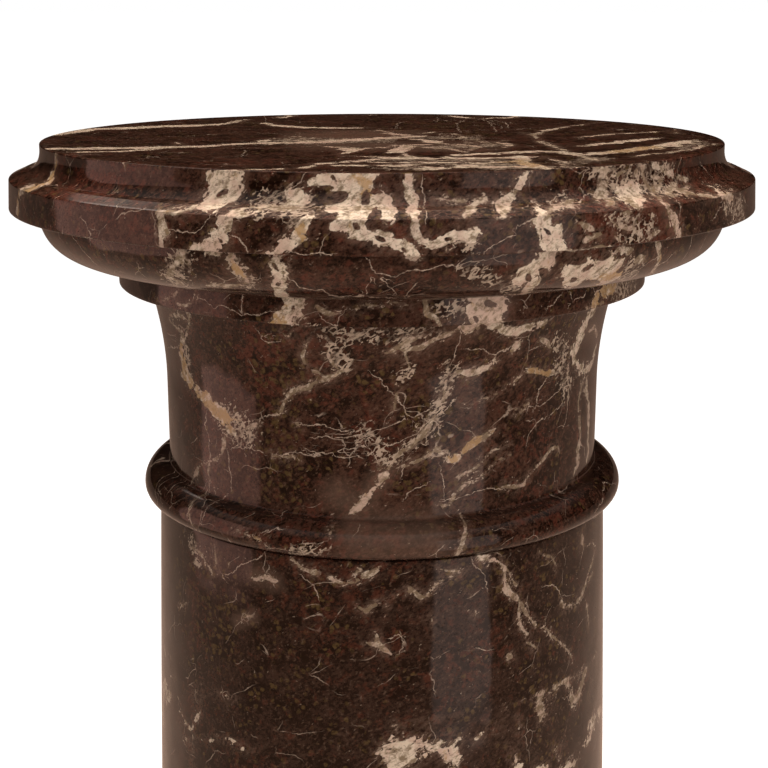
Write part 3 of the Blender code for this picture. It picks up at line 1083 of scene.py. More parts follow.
class Desk:
    """Lays nodes into one tree and joins them up."""

    def __init__(self, tree: bpy.types.NodeTree) -> None:
        """Takes the tree to work in."""
        self.tree = tree

    def put(self, target: Socket, feed: Feed) -> None:
        """Gives an input a link or a plain value.

        Args:
            target: The input socket.
            feed: Another node's output, a number, a vector or a colour.
        """
        if isinstance(feed, bpy.types.NodeSocket):
            self.tree.links.new(feed, target)
        else:
            target.default_value = feed

    def math(self, operation: str, first: Feed, second: Feed = 0.0) -> Socket:
        """Joins two values with one sum.

        Args:
            operation: The node's operation, such as ADD.
            first: First value.
            second: Second value.

        Returns:
            The result's socket.
        """
        node = self.tree.nodes.new("ShaderNodeMath")
        node.operation = operation
        self.put(node.inputs[0], first)
        self.put(node.inputs[1], second)
        return node.outputs[0]

    def plus(self, first: Feed, second: Feed) -> Socket:
        """Adds two values."""
        return self.math("ADD", first, second)

    def minus(self, first: Feed, second: Feed) -> Socket:
        """Takes the second value from the first."""
        return self.math("SUBTRACT", first, second)

    def times(self, first: Feed, second: Feed) -> Socket:
        """Multiplies two values."""
        return self.math("MULTIPLY", first, second)

    def lower(self, first: Feed, second: Feed) -> Socket:
        """Gives the lower of two values."""
        return self.math("MINIMUM", first, second)

    def higher(self, first: Feed, second: Feed) -> Socket:
        """Gives the higher of two values."""
        return self.math("MAXIMUM", first, second)

    def size_of(self, value: Feed) -> Socket:
        """Gives a value without its sign."""
        return self.math("ABSOLUTE", value)

    def grade(self, value: Feed, low: Feed, high: Feed, to_low: float = 0.0,
              to_high: float = 1.0) -> Socket:
        """Turns a range of values into another with soft ends.

        Args:
            value: The value to turn.
            low: Value that gives to_low.
            high: Value that gives to_high.
            to_low: First result.
            to_high: Last result.

        Returns:
            The result's socket.
        """
        node = self.tree.nodes.new("ShaderNodeMapRange")
        node.interpolation_type = "SMOOTHSTEP"
        self.put(node.inputs["Value"], value)
        self.put(node.inputs["From Min"], low)
        self.put(node.inputs["From Max"], high)
        node.inputs["To Min"].default_value = to_low
        node.inputs["To Max"].default_value = to_high
        return node.outputs["Result"]

    def blend(self, share: Feed, first: Feed, second: Feed) -> Socket:
        """Mixes two colours.

        Args:
            share: 0 for the first colour, 1 for the second.
            first: First colour.
            second: Second colour.

        Returns:
            The colour's socket.
        """
        node = self.tree.nodes.new("ShaderNodeMix")
        node.data_type = "RGBA"
        node.clamp_factor = True
        self.put(node.inputs[0], share)
        self.put(node.inputs[6], first)
        self.put(node.inputs[7], second)
        return node.outputs[2]

    def noise(self, place: Feed, size: float, detail: float = 3.0,
              roughness: float = 0.55) -> bpy.types.Node:
        """Adds a noise texture.

        Args:
            place: Position in millimetres.
            size: Rough size of its blots in millimetres.
            detail: Number of finer layers.
            roughness: Weight of the finer layers.

        Returns:
            The node.
        """
        node = self.tree.nodes.new("ShaderNodeTexNoise")
        self.put(node.inputs["Vector"], place)
        node.inputs["Scale"].default_value = 1.0 / size
        node.inputs["Detail"].default_value = detail
        node.inputs["Roughness"].default_value = roughness
        return node

    def blots(self, place: Feed, size: float, detail: float = 3.0, roughness: float = 0.55) -> Socket:
        """Gives the value of a noise texture, as noise() lays it."""
        return self.noise(place, size, detail, roughness).outputs["Fac"]

    def cells(self, place: Feed, size: float, feature: str = "DISTANCE_TO_EDGE") -> bpy.types.Node:
        """Adds a cell texture.

        Args:
            place: Position in millimetres.
            size: Rough size of a cell in millimetres.
            feature: What the node measures.

        Returns:
            The node.
        """
        node = self.tree.nodes.new("ShaderNodeTexVoronoi")
        node.feature = feature
        self.put(node.inputs["Vector"], place)
        node.inputs["Scale"].default_value = 1.0 / size
        return node

    def edge(self, place: Feed, size: float) -> Socket:
        """Distance in millimetres from the nearest border between cells of a given size."""
        return self.times(self.cells(place, size).outputs["Distance"], size)

    def sway(self, place: Feed, size: float, reach: float, detail: float = 1.0) -> Socket:
        """Shifts a position unevenly.

        Args:
            place: Position in millimetres.
            size: Rough size of the bends in millimetres.
            reach: Whole range of the shift in millimetres.
            detail: Number of finer bends.

        Returns:
            The shifted position.
        """
        around = self.tree.nodes.new("ShaderNodeVectorMath")
        around.operation = "SUBTRACT"
        self.put(around.inputs[0], self.noise(place, size, detail).outputs["Color"])
        around.inputs[1].default_value = (0.5, 0.5, 0.5)
        shifted = self.tree.nodes.new("ShaderNodeVectorMath")
        shifted.operation = "MULTIPLY_ADD"
        self.put(shifted.inputs[0], around.outputs[0])
        shifted.inputs[1].default_value = (reach, reach, reach)
        self.put(shifted.inputs[2], place)
        return shifted.outputs[0]

    def along_grain(self, place: Feed, amount: float) -> Socket:
        """Draws a pattern out along the stone's grain.

        Args:
            place: Position in millimetres.
            amount: How much longer the pattern gets that way.

        Returns:
            The changed position.
        """
        node = self.tree.nodes.new("ShaderNodeMapping")
        node.vector_type = "TEXTURE"
        self.put(node.inputs["Vector"], place)
        node.inputs["Rotation"].default_value = (0.0, -math.radians(GRAIN_LEAN), 0.0)
        node.inputs["Scale"].default_value = (amount, 1.0, 1.0)
        return node.outputs[0]

    def centred(self, value: Feed, reach: float) -> Socket:
        """Turns a value round 0.5 into one round 0 with a given whole range."""
        return self.times(self.minus(value, 0.5), reach)


class Group:
    """A shader node group with named sockets, built once and shared by every material."""

    def __init__(self, name: str) -> None:
        """Starts an empty group.

        Args:
            name: The group's name.
        """
        self.tree = bpy.data.node_groups.new(name, "ShaderNodeTree")
        self.desk = Desk(self.tree)
        self.inside = self.tree.nodes.new("NodeGroupInput")
        self.outside = self.tree.nodes.new("NodeGroupOutput")

    def takes(self, name: str, kind: str, default: Feed = 0.0) -> Socket:
        """Adds an input.

        Args:
            name: The socket's name.
            kind: Float, Color or Vector.
            default: Its value where nothing is joined.

        Returns:
            The socket, as seen inside the group.
        """
        socket = self.tree.interface.new_socket(
            name=name, in_out="INPUT", socket_type="NodeSocket" + kind)
        if kind != "Vector":
            socket.default_value = default
        return self.inside.outputs[name]

    def gives(self, name: str, kind: str, feed: Socket) -> None:
        """Adds an output and joins it up.

        Args:
            name: The socket's name.
            kind: Float or Color.
            feed: The socket inside the group that it puts out.
        """
        self.tree.interface.new_socket(name=name, in_out="OUTPUT", socket_type="NodeSocket" + kind)
        self.tree.links.new(feed, self.outside.inputs[name])


def ground_group() -> bpy.types.NodeTree:
    """Builds the dark stone between the veins.

    Returns:
        The node group.
    """
    group = Group("stone ground")
    desk = group.desk
    place = group.takes("Position", "Vector")
    dark = group.takes("Dark", "Color", (0.02, 0.01, 0.01, 1.0))
    brown = group.takes("Brown", "Color", (0.05, 0.02, 0.02, 1.0))
    red = group.takes("Red", "Color", (0.1, 0.03, 0.02, 1.0))
    green = group.takes("Green", "Color", (0.05, 0.05, 0.03, 1.0))
    speck = group.takes("Speck", "Color", (0.2, 0.15, 0.12, 1.0))
    red_share = group.takes("Red Share", "Float")
    green_share = group.takes("Green Share", "Float")
    most_red = 0.8
    most_green = 0.9
    most_seam = 0.30
    most_shade = 0.62
    most_speck = 0.36

    # Packed grains, each with three chance values of its own
    bent = desk.sway(place, size=6.0, reach=4.0)
    clasts = desk.cells(bent, size=3.3, feature="F1")
    split = desk.tree.nodes.new("ShaderNodeSeparateColor")
    desk.put(split.inputs[0], clasts.outputs["Color"])
    red_chance, green_chance, tone_chance = split.outputs[:3]
    pebble = desk.grade(clasts.outputs["Distance"], 0.54, 0.30)

    # Unevenness of four sizes
    streaked = desk.along_grain(place, 1.6)
    slow = desk.blots(streaked, size=13.0, detail=4.0, roughness=0.64)
    middle = desk.blots(bent, size=4.6, roughness=0.66)
    fine = desk.blots(streaked, size=1.5, detail=2.0, roughness=0.70)
    patch = desk.blots(bent, size=58.0, detail=2.0)

    # Dark and brown stone
    tone = desk.plus(desk.times(slow, 0.8), desk.centred(tone_chance, 0.09))
    tone = desk.plus(tone, desk.plus(desk.centred(middle, 0.5), desk.centred(fine, 0.45)))
    colour = desk.blend(desk.grade(tone, 0.20, 0.52), dark, brown)

    # Redder parts
    redness = desk.plus(middle, desk.centred(red_chance, 0.20))
    redness = desk.plus(redness, desk.times(red_share, 0.20))
    redness = desk.plus(redness, desk.grade(patch, 0.50, 0.68, to_low=0.0, to_high=0.13))
    colour = desk.blend(desk.times(desk.grade(redness, 0.57, 0.76), most_red), colour, red)

    # Greener parts, inside the grains only
    greenness = desk.plus(desk.minus(1.0, slow), desk.centred(green_chance, 0.40))
    greenness = desk.plus(greenness, desk.times(green_share, 0.20))
    greenness = desk.plus(greenness, desk.grade(patch, 0.54, 0.36, to_low=-0.05, to_high=0.10))
    greenness = desk.times(desk.grade(greenness, 0.60, 0.74), pebble)
    colour = desk.blend(desk.times(greenness, most_green), colour, green)

    # Darker seams between the grains, dark pores and pale specks
    seam = desk.times(desk.grade(clasts.outputs["Distance"], 0.50, 0.72), most_seam)
    colour = desk.blend(seam, colour, dark)
    shade = desk.grade(fine, 0.52, 0.34)
    colour = desk.blend(desk.times(shade, most_shade), colour, dark)
    grains = desk.grade(fine, 0.58, 0.72)
    colour = desk.blend(desk.times(grains, most_speck), colour, speck)
    group.gives("Chip", "Float", red_chance)
    group.gives("Color", "Color", colour)
    return group.tree


def vein_group() -> bpy.types.NodeTree:
    """Builds the ragged veins, the dark fragments and cracks in them, and the lace beside them.

    All distances are in millimetres, below zero inside a vein.

    Returns:
        The node group.
    """
    group = Group("vein body")
    desk = group.desk
    place = group.takes("Position", "Vector")
    drawn = group.takes("Drawn Distance", "Float", FAR)
    island_distance = group.takes("Island Distance", "Float", FAR)
    share = group.takes("Drawn Share", "Float")
    crossing = group.takes("Lattice Share", "Float")
    chip = group.takes("Chip", "Float", 0.5)
    girth = group.takes("Girth", "Float", VeinMap.USUAL_GIRTH)
    wild_retreat = 60.0         # takes the stone's own veins out of the drawn part
    edge_softness = 0.25
    edge_offset = 0.60          # makes up for what the ragged edge adds
    most_fragment = 0.9
    most_crack = 0.55
    most_fleck = 0.7

    # The stone's own veins, large and small, each swelling where the other thins out
    bent = desk.sway(desk.along_grain(place, 1.7), size=44.0, reach=30.0, detail=2.0)
    large = desk.blots(bent, size=66.0, detail=2.0, roughness=0.45)
    large = desk.times(desk.size_of(desk.minus(large, 0.5)), 84.0)
    swell = desk.blots(place, size=52.0, detail=2.0)
    large_width = desk.grade(swell, 0.38, 0.66, to_low=-2.0, to_high=2.2)
    small = desk.edge(bent, size=38.0)
    small_width = desk.grade(swell, 0.60, 0.34, to_low=-3.2, to_high=0.9)
    wild = desk.lower(desk.minus(large, large_width), desk.minus(small, small_width))
    wild = desk.plus(wild, desk.times(share, wild_retreat))
    distance = desk.lower(wild, drawn)

    # Ragged edges, less so on a thin vein, with the dark islands kept
    drawn_out = desk.along_grain(place, 2.2)
    coarse = desk.centred(desk.blots(drawn_out, size=5.0, roughness=0.64), 6.6)
    weave = desk.blots(drawn_out, size=1.7, detail=2.0, roughness=0.70)
    fray = desk.plus(desk.centred(weave, 2.2), desk.centred(chip, 2.2))
    weight = desk.grade(girth, 0.6, 3.8, to_low=0.28, to_high=1.0)
    strayed = desk.times(desk.plus(desk.plus(coarse, fray), edge_offset), weight)
    ragged = desk.plus(distance, strayed)
    kept = desk.times(desk.plus(island_distance, desk.times(coarse, 0.5)), -1.0)
    ragged = desk.higher(ragged, kept)
    body = desk.grade(ragged, edge_softness, -edge_softness)

    # Dark fragments and cracks inside
    net = desk.edge(desk.sway(desk.along_grain(place, 1.45), size=3.0, reach=3.0), size=2.8)
    fragment = desk.times(desk.grade(weave, 0.63, 0.67), desk.grade(ragged, -0.3, -1.4))
    crack = desk.times(desk.grade(net, 0.22, 0.06), desk.grade(weave, 0.46, 0.56))
    crack = desk.times(crack, desk.grade(ragged, 0.2, -0.8))
    broken = desk.higher(desk.times(fragment, most_fragment), desk.times(crack, most_crack))
    body = desk.times(body, desk.minus(1.0, broken))

    # Lace and flecks beside a vein and where lines cross closely
    beside = desk.grade(ragged, 3.6, 0.2)
    beside = desk.times(beside, desk.grade(swell, 0.42, 0.60, to_low=0.30, to_high=0.62))
    closeness = desk.higher(crossing, beside)
    width = desk.plus(desk.times(closeness, 0.90), desk.centred(weave, 2.6))
    lace = desk.grade(desk.minus(net, desk.minus(width, 0.56)), 0.14, -0.08)
    lace = desk.times(lace, desk.grade(coarse, -0.7, 0.5, to_low=0.12, to_high=1.0))
    flecks = desk.grade(desk.plus(weave, desk.times(closeness, 0.10)), 0.70, 0.76)
    lace = desk.higher(lace, desk.times(flecks, most_fleck))
    lace = desk.lower(lace, desk.grade(kept, 0.6, -0.2))
    group.gives("Mask", "Float", body)
    group.gives("Lace", "Float", lace)
    haze = desk.grade(desk.plus(distance, coarse), 4.4, -0.6)
    haze = desk.times(haze, desk.grade(weave, 0.36, 0.58))
    group.gives("Haze", "Float", haze)
    group.gives("Thinness", "Float", desk.grade(girth, 3.4, 0.8))
    return group.tree


def web_group() -> bpy.types.NodeTree:
    """Builds the thin pale lines: the drawn ones and the sparse web that runs all over the stone.

    Returns:
        The node group.
    """
    group = Group("hairline web")
    desk = group.desk
    place = group.takes("Position", "Vector")
    side = group.takes("Side", "Float", FAR)
    near = group.takes("Near", "Float", FAR)
    most_web = 0.66

    # Drawn lines, jagged and stronger in some places
    strength = desk.blots(place, size=2.4, roughness=0.65)
    jag = desk.blots(desk.along_grain(place, 1.5), size=5.5, roughness=0.64)
    strays = desk.plus(desk.centred(strength, 1.2), desk.centred(jag, 5.6))
    line = desk.grade(desk.size_of(desk.plus(side, strays)), 0.36, 0.06)
    line = desk.times(line, desk.grade(near, 3.4, 2.6))
    line = desk.times(line, desk.grade(strength, 0.36, 0.56, to_low=0.25, to_high=1.0))

    # The sparse web, let through in some places only
    bent = desk.sway(desk.along_grain(place, 1.7), size=16.0, reach=14.0)
    bent = desk.sway(bent, size=5.0, reach=3.6, detail=3.0)
    sparse = desk.grade(desk.edge(bent, size=25.0), 0.22, 0.04)
    gate = desk.grade(desk.blots(place, size=16.0, detail=2.0), 0.51, 0.63)
    sparse = desk.times(desk.times(sparse, gate), most_web)
    group.gives("Mask", "Float", desk.higher(line, sparse))
    return group.tree


def vein_colour_group() -> bpy.types.NodeTree:
    """Builds the colours inside the veins.

    Returns:
        The node group.
    """
    group = Group("vein colour")
    desk = group.desk
    place = group.takes("Position", "Vector")
    cream = group.takes("Cream", "Color", (0.7, 0.55, 0.45, 1.0))
    pink = group.takes("Rose", "Color", (0.5, 0.3, 0.25, 1.0))
    stain = group.takes("Ochre", "Color", (0.5, 0.25, 0.08, 1.0))
    dull = group.takes("Dull", "Color", (0.3, 0.2, 0.15, 1.0))
    pink_share = group.takes("Rose Share", "Float")
    stain_share = group.takes("Ochre Share", "Float")
    thinness = group.takes("Thinness", "Float")
    most_pink = 0.8
    most_dull = 0.9
    most_stain = 0.8

    slow = desk.blots(place, size=9.0, roughness=0.6)
    quick = desk.blots(desk.along_grain(place, 1.8), size=3.0, roughness=0.72)
    pinkness = desk.plus(slow, desk.times(pink_share, 0.22))
    colour = desk.blend(desk.times(desk.grade(pinkness, 0.44, 0.66), most_pink), cream, pink)
    shaded = desk.plus(quick, desk.centred(slow, 0.55))
    shaded = desk.grade(desk.minus(shaded, desk.times(thinness, 0.12)), 0.53, 0.33)
    colour = desk.blend(desk.times(shaded, most_dull), colour, dull)
    staining = desk.blots(place, size=5.0, roughness=0.70)
    staining = desk.plus(staining, desk.times(stain_share, 0.25))
    colour = desk.blend(desk.times(desk.grade(staining, 0.60, 0.78), most_stain), colour, stain)
    group.gives("Color", "Color", colour)
    return group.tree


def polish_group() -> bpy.types.NodeTree:
    """Builds the unevenness of a hand-polished surface: a soft wave, pores and a duller vein.

    Returns:
        The node group.
    """
    group = Group("stone polish")
    desk = group.desk
    place = group.takes("Position", "Vector")
    mask = group.takes("Vein Mask", "Float")
    smooth = group.takes("Polish", "Float", 0.1)
    rubbed_roughness = 0.05
    vein_roughness = 0.06
    pore_roughness = 0.10
    wave_height = 0.9           # shares of the finish's relief
    pore_depth = 0.10

    rub = desk.blots(place, size=30.0, roughness=0.6)
    fine = desk.blots(place, size=1.2, detail=1.0, roughness=0.7)
    rough = desk.plus(smooth, desk.times(desk.grade(rub, 0.4, 0.7), rubbed_roughness))
    rough = desk.plus(rough, desk.times(mask, vein_roughness))
    rough = desk.plus(rough, desk.times(desk.grade(fine, 0.58, 0.75), pore_roughness))
    group.gives("Roughness", "Float", rough)
    wave = desk.times(desk.blots(place, size=26.0, detail=1.0), wave_height)
    pores = desk.times(desk.grade(fine, 0.66, 0.78), -pore_depth)
    group.gives("Height", "Float", desk.plus(wave, pores))
    return group.tree


@dataclass(frozen=True)
class Marble:
    """The finish of a polished block of dark marble with cream veins."""

    name: str
    dark: Colour = (0.0085, 0.0030, 0.0014, 1.0)
    brown: Colour = (0.0640, 0.0275, 0.0175, 1.0)
    red: Colour = (0.1000, 0.0270, 0.0160, 1.0)
    green: Colour = (0.0900, 0.0530, 0.0200, 1.0)
    speck: Colour = (0.1700, 0.1050, 0.0700, 1.0)
    cream: Colour = (0.7200, 0.5700, 0.4350, 1.0)
    pink: Colour = (0.5200, 0.3400, 0.2600, 1.0)
    stain: Colour = (0.4200, 0.2400, 0.0950, 1.0)
    dull: Colour = (0.1900, 0.1250, 0.0700, 1.0)
    bruise: Colour = (0.2000, 0.1200, 0.0850, 1.0)
    hairline: Colour = (0.5400, 0.4000, 0.3050, 1.0)
    lace: Colour = (0.5200, 0.3850, 0.2850, 1.0)
    polish: float = 0.075
    relief: float = 0.0006      # metres for one unit of the polish group's height
    refraction: float = 1.5
    haze: float = 0.40          # how much the stone pales beside a vein
    rose_haze: float = 0.36     # how much it pales in a pinkish zone; in the top's middle such a zone is a painted lit patch
    crossed_shade: float = 0.35     # how much it darkens between lines that cross closely
    hairline_share: float = 0.85    # how much of their own colour the thin lines have
    lace_share: float = 0.82
    thin_share: float = 0.74    # the same for the thinnest veins, the widest having all of it

    def build(self, groups: dict[str, bpy.types.NodeTree]) -> bpy.types.Material:
        """Makes the material.

        Args:
            groups: The shared node groups by name.

        Returns:
            The material.
        """
        material = bpy.data.materials.new(self.name)
        material.use_nodes = True
        tree = material.node_tree
        desk = Desk(tree)
        shader = tree.nodes["Principled BSDF"]
        coordinates = tree.nodes.new("ShaderNodeTexCoord")
        scaled = tree.nodes.new("ShaderNodeVectorMath")
        scaled.operation = "SCALE"
        desk.put(scaled.inputs[0], coordinates.outputs["Object"])
        scaled.inputs["Scale"].default_value = MILLIMETRES
        place = scaled.outputs[0]

        ground = self._place(desk, groups["ground"], {
            "Position": place, "Dark": self.dark, "Brown": self.brown, "Red": self.red,
            "Green": self.green, "Speck": self.speck, "Red Share": self._channel(tree, "rust"),
            "Green Share": self._channel(tree, "moss")})
        vein = self._place(desk, groups["vein"], {
            "Position": place, "Drawn Distance": self._channel(tree, "vein"),
            "Island Distance": self._channel(tree, "island"),
            "Drawn Share": self._channel(tree, "drawn"),
            "Lattice Share": self._channel(tree, "lattice"),
            "Chip": ground.outputs["Chip"], "Girth": self._channel(tree, "girth")})
        web = self._place(desk, groups["web"], {
            "Position": place, "Side": self._channel(tree, "side"),
            "Near": self._channel(tree, "near")})
        tint = self._place(desk, groups["tint"], {
            "Position": place, "Cream": self.cream, "Rose": self.pink, "Ochre": self.stain,
            "Dull": self.dull, "Rose Share": self._channel(tree, "rose"),
            "Ochre Share": self._channel(tree, "ochre"), "Thinness": vein.outputs["Thinness"]})

        hazy = desk.higher(desk.times(vein.outputs["Haze"], self.haze),
                           desk.times(self._channel(tree, "rose"), self.rose_haze))
        crossed = desk.times(self._channel(tree, "lattice"), self.crossed_shade)
        colour = desk.blend(crossed, ground.outputs["Color"], self.dark)
        colour = desk.blend(hazy, colour, self.bruise)
        thin_line = desk.times(web.outputs["Mask"], self.hairline_share)
        colour = desk.blend(thin_line, colour, self.hairline)
        lacy = desk.times(vein.outputs["Lace"], self.lace_share)
        colour = desk.blend(lacy, colour, self.lace)
        fullness = desk.grade(vein.outputs["Thinness"], 0.0, 1.0, 1.0, self.thin_share)
        solid = desk.times(vein.outputs["Mask"], fullness)
        colour = desk.blend(solid, colour, tint.outputs["Color"])
        desk.put(shader.inputs["Base Color"], colour)

        polish = self._place(desk, groups["polish"], {
            "Position": place, "Vein Mask": vein.outputs["Mask"], "Polish": self.polish})
        desk.put(shader.inputs["Roughness"], polish.outputs["Roughness"])
        bump = tree.nodes.new("ShaderNodeBump")
        bump.inputs["Strength"].default_value = 1.0
        bump.inputs["Distance"].default_value = self.relief
        desk.put(bump.inputs["Height"], polish.outputs["Height"])
        desk.put(shader.inputs["Normal"], bump.outputs["Normal"])
        shader.inputs["Metallic"].default_value = 0.0
        shader.inputs["IOR"].default_value = self.refraction
        return material

    @staticmethod
    def _channel(tree: bpy.types.NodeTree, name: str) -> Socket:
        """Reads one vein number from the mesh.

        Args:
            tree: The material's tree.
            name: The channel's name.

        Returns:
            The number's socket.
        """
        node = tree.nodes.new("ShaderNodeAttribute")
        node.attribute_type = "GEOMETRY"
        node.attribute_name = name
        return node.outputs["Fac"]

    @staticmethod
    def _place(desk: Desk, group: bpy.types.NodeTree, feeds: dict[str, Feed]) -> bpy.types.Node:
        """Lays a group into the material.

        Args:
            desk: The material's desk.
            group: The node group.
            feeds: What each of its inputs gets.

        Returns:
            The group's node.
        """
        node = desk.tree.nodes.new("ShaderNodeGroup")
        node.node_tree = group
        for name, feed in feeds.items():
            desk.put(node.inputs[name], feed)
        return node


def node_depths(node: str) -> tuple[float, float]:
    """Reads where a CAD node's top and foot lie.

    Args:
        node: The node's name.

    Returns:
        Their depths below the column's own top, in metres, to a hundredth of a millimetre.
    """
    low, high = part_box(node)
    top = CAD_BOX[1][2]
    return round(top - high[2], 5), round(top - low[2], 5)


@dataclass
class Block:
    """What every block of the column has in common."""

    node: str
    slot: str
    finish: Marble

    def outline(self) -> Outline:
        """The block's half outline."""
        raise NotImplementedError

    def columns(self) -> Columns:
        """How closely the block's upright lines stand."""
        return Columns()

    def strokes(self) -> tuple[Stroke, ...]:
        """Veins drawn on the turned side."""
        return ()

    def flat_strokes(self) -> tuple[Stroke, ...]:
        """Veins drawn on the flat top."""
        return ()

    def drawn_to(self) -> float:
        """Depth down to which veins are drawn, in metres, here none at all."""
        return -1.0

    def build(self, top: float, groups: dict[str, bpy.types.NodeTree]) -> bpy.types.Object:
        """Turns the block, draws its veins and gives it its marble.

        Args:
            top: Height of the column's top face.
            groups: The shared node groups by name.

        Returns:
            The finished object.
        """
        turned = TurnedMesh(self.node + "_turned", self.outline(), self.columns(), top)
        block = turned.build()
        keep_channels(block, turned.vein_map(self.strokes(), self.flat_strokes(), self.drawn_to()))
        block.data.materials.append(self.finish.build(groups))
        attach(block, "root")
        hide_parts(self.node)
        rings = len(turned.outline.points) - 2
        LOG.info("%s: %d rings, %d faces", block.name, rings, len(block.data.polygons))
        return block


@dataclass
class Capital(Block):
    """The flat top with every moulding under it, down to the collar bead."""

    rim_radius: float = 0.1831
    rim_height: float = 0.0034
    hollow_reach: float = 0.0092
    hollow_height: float = 0.0113
    quirk_width: float = 0.0006
    quirk_depth: float = 0.0005
    wash_width: float = 0.0067
    wash_fall: float = 0.0028
    fascia_height: float = 0.0159
    fascia_lean: float = 0.0008
    ovolo_radius: float = 0.1856
    ovolo_reach: float = 0.0287
    ovolo_height: float = 0.0260
    ovolo_fullness: float = 0.85
    ring_radius: float = 0.1449
    ring_height: float = 0.0164
    neck_radius: float = 0.1210
    neck_flare: float = 0.0081
    neck_flare_height: float = 0.0540
    neck_flare_power: float = 1.9
    neck_straight_height: float = 0.0467
    neck_foot_fillet: float = 0.0020
    bead_radius: float = 0.1354
    bead_upper_height: float = 0.0119
    bead_lower_height: float = 0.0053
    bead_foot_inset: float = 0.0043
    reveal_radius: float = 0.1229
    reveal_height: float = 0.0026
    pitch: float = 0.00138
    hidden_pitch: float = 0.0040
    top_pitch: float = 0.0050

    def outline(self) -> Outline:
        """The half outline from the flat top to the joint with the shaft.

        Returns:
            The outline.
        """
        line = Outline(self.pitch)
        line.reach(self.rim_radius - EASE, self.top_pitch)
        line.quarter(EASE, EASE, starts_level=True)
        line.move(down=self.rim_height - EASE)
        line.quarter(self.hollow_reach, self.hollow_height)
        line.move(out=self.quirk_width / 2, down=self.quirk_depth)
        line.move(out=self.quirk_width / 2, down=-self.quirk_depth)
        line.move(out=self.wash_width - EASE, down=self.wash_fall)
        line.quarter(EASE, EASE, starts_level=True)
        line.move(out=self.fascia_lean, down=self.fascia_height - 2 * EASE)
        line.quarter(-EASE, EASE)
        line.reach(self.ovolo_radius, self.hidden_pitch)
        line.quarter(-self.ovolo_reach, self.ovolo_height, fullness=self.ovolo_fullness)
        line.reach(self.ring_radius, self.hidden_pitch)
        line.move(down=self.ring_height - EASE)
        line.quarter(-EASE, EASE)
        line.reach(self.neck_radius + self.neck_flare, self.hidden_pitch)
        self._flare(line)
        line.move(down=self.neck_straight_height)
        line.quarter(self.neck_foot_fillet, self.neck_foot_fillet)
        line.quarter(self.bead_radius - self.neck_radius - self.neck_foot_fillet,
                     self.bead_upper_height, starts_level=True)
        line.quarter(-self.bead_foot_inset, self.bead_lower_height)
        line.reach(self.reveal_radius, self.hidden_pitch)
        line.move(down=self.reveal_height)
        line.close()
        return line

    def _flare(self, line: Outline) -> None:
        """Runs down the part of the neck that widens upwards.

        Args:
            line: The outline, standing at the top of the neck.
        """
        start = line.depth()
        steps = round(self.neck_flare_height / self.pitch)
        for step in range(1, steps + 1):
            share = step / steps
            radius = self.neck_radius + self.neck_flare * (1 - share) ** self.neck_flare_power
            line.points.append((radius, start + self.neck_flare_height * share))

    def strokes(self) -> tuple[Stroke, ...]:
        """Veins drawn on the turned side."""
        return RIM_VEINS + FASCIA_VEINS + OVOLO_VEINS + RING_VEINS + NECK_VEINS + BEAD_VEINS

    def flat_strokes(self) -> tuple[Stroke, ...]:
        """Veins drawn on the flat top."""
        return TOP_VEINS

    def drawn_to(self) -> float:
        """The whole capital is drawn, which no depth cuts short."""
        return 1.0


@dataclass
class Shaft(Block):
    """The plain drum under the capital."""

    drawn_depth: float = 0.268
    top_radius: float = 0.1269
    swell: float = 0.0141
    fine_length: float = 0.0900
    pitch: float = 0.00150
    coarse_pitch: float = 0.0080
    seat_pitch: float = 0.02    # on the level top that the capital hides

    def outline(self) -> Outline:
        """The half outline, with close rings where veins are drawn.

        Returns:
            The outline.
        """
        top_depth, foot_depth = node_depths(self.node)
        line = Outline(self.pitch, top_depth)
        line.reach(self.top_radius - EASE, self.seat_pitch)
        line.quarter(EASE, EASE, starts_level=True)
        start = line.depth()
        length = foot_depth - EASE - start
        fine = np.arange(self.pitch, self.fine_length, self.pitch)
        coarse_rings = round((length - self.fine_length) / self.coarse_pitch)
        coarse = np.linspace(self.fine_length, length, coarse_rings)
        for along in np.concatenate((fine, coarse)):
            share = along / length
            radius = self.top_radius + self.swell * (1 - (1 - share) ** 2)
            line.points.append((radius, start + along))
        line.quarter(-EASE, EASE)
        line.close()
        return line

    def strokes(self) -> tuple[Stroke, ...]:
        """Veins drawn on the turned side."""
        return SHAFT_VEINS

    def drawn_to(self) -> float:
        """The shaft is drawn as far as the photo shows it."""
        return self.drawn_depth


@dataclass
class Base(Block):
    """The foot: a bead, a hollow, a large roll and a round plinth."""

    seat_radius: float = 0.1422
    bead_projection: float = 0.0070
    bead_height: float = 0.0180
    fillet_height: float = 0.0060
    hollow_reach: float = 0.0240
    hollow_height: float = 0.0340
    lip_height: float = 0.0060
    roll_projection: float = 0.0170
    roll_height: float = 0.0440
    plinth_margin: float = 0.0040
    plinth_height: float = 0.0460
    pitch: float = 0.0022
    seat_pitch: float = 0.02    # on the level top that the shaft hides
    ledge_pitch: float = 0.006
    plinth_pitch: float = 0.005
    step: float = 1.2           # degrees between two upright lines

    def columns(self) -> Columns:
        """Evenly spaced, because nothing is drawn on the base."""
        return Columns(front_half_angle=90.0, front_step=self.step, rear_step=self.step)

    def outline(self) -> Outline:
        """The half outline from the shaft's seat to the floor.

        Returns:
            The outline.
        """
        line = Outline(self.pitch, node_depths(self.node)[0])
        line.reach(self.seat_radius, self.seat_pitch)
        line.half_round(self.bead_projection, self.bead_height)
        line.move(down=self.fillet_height)
        line.quarter(self.hollow_reach, self.hollow_height)
        line.move(down=self.lip_height)
        lip = line.points[-1][0]
        line.half_round(self.roll_projection, self.roll_height)
        plinth_radius = lip + self.roll_projection + self.plinth_margin
        line.reach(plinth_radius - EASE, self.ledge_pitch)
        line.quarter(EASE, EASE, starts_level=True)
        line.move(down=self.plinth_height - 2 * EASE, pitch=self.plinth_pitch)
        line.quarter(-EASE, EASE)
        line.close()
        return line


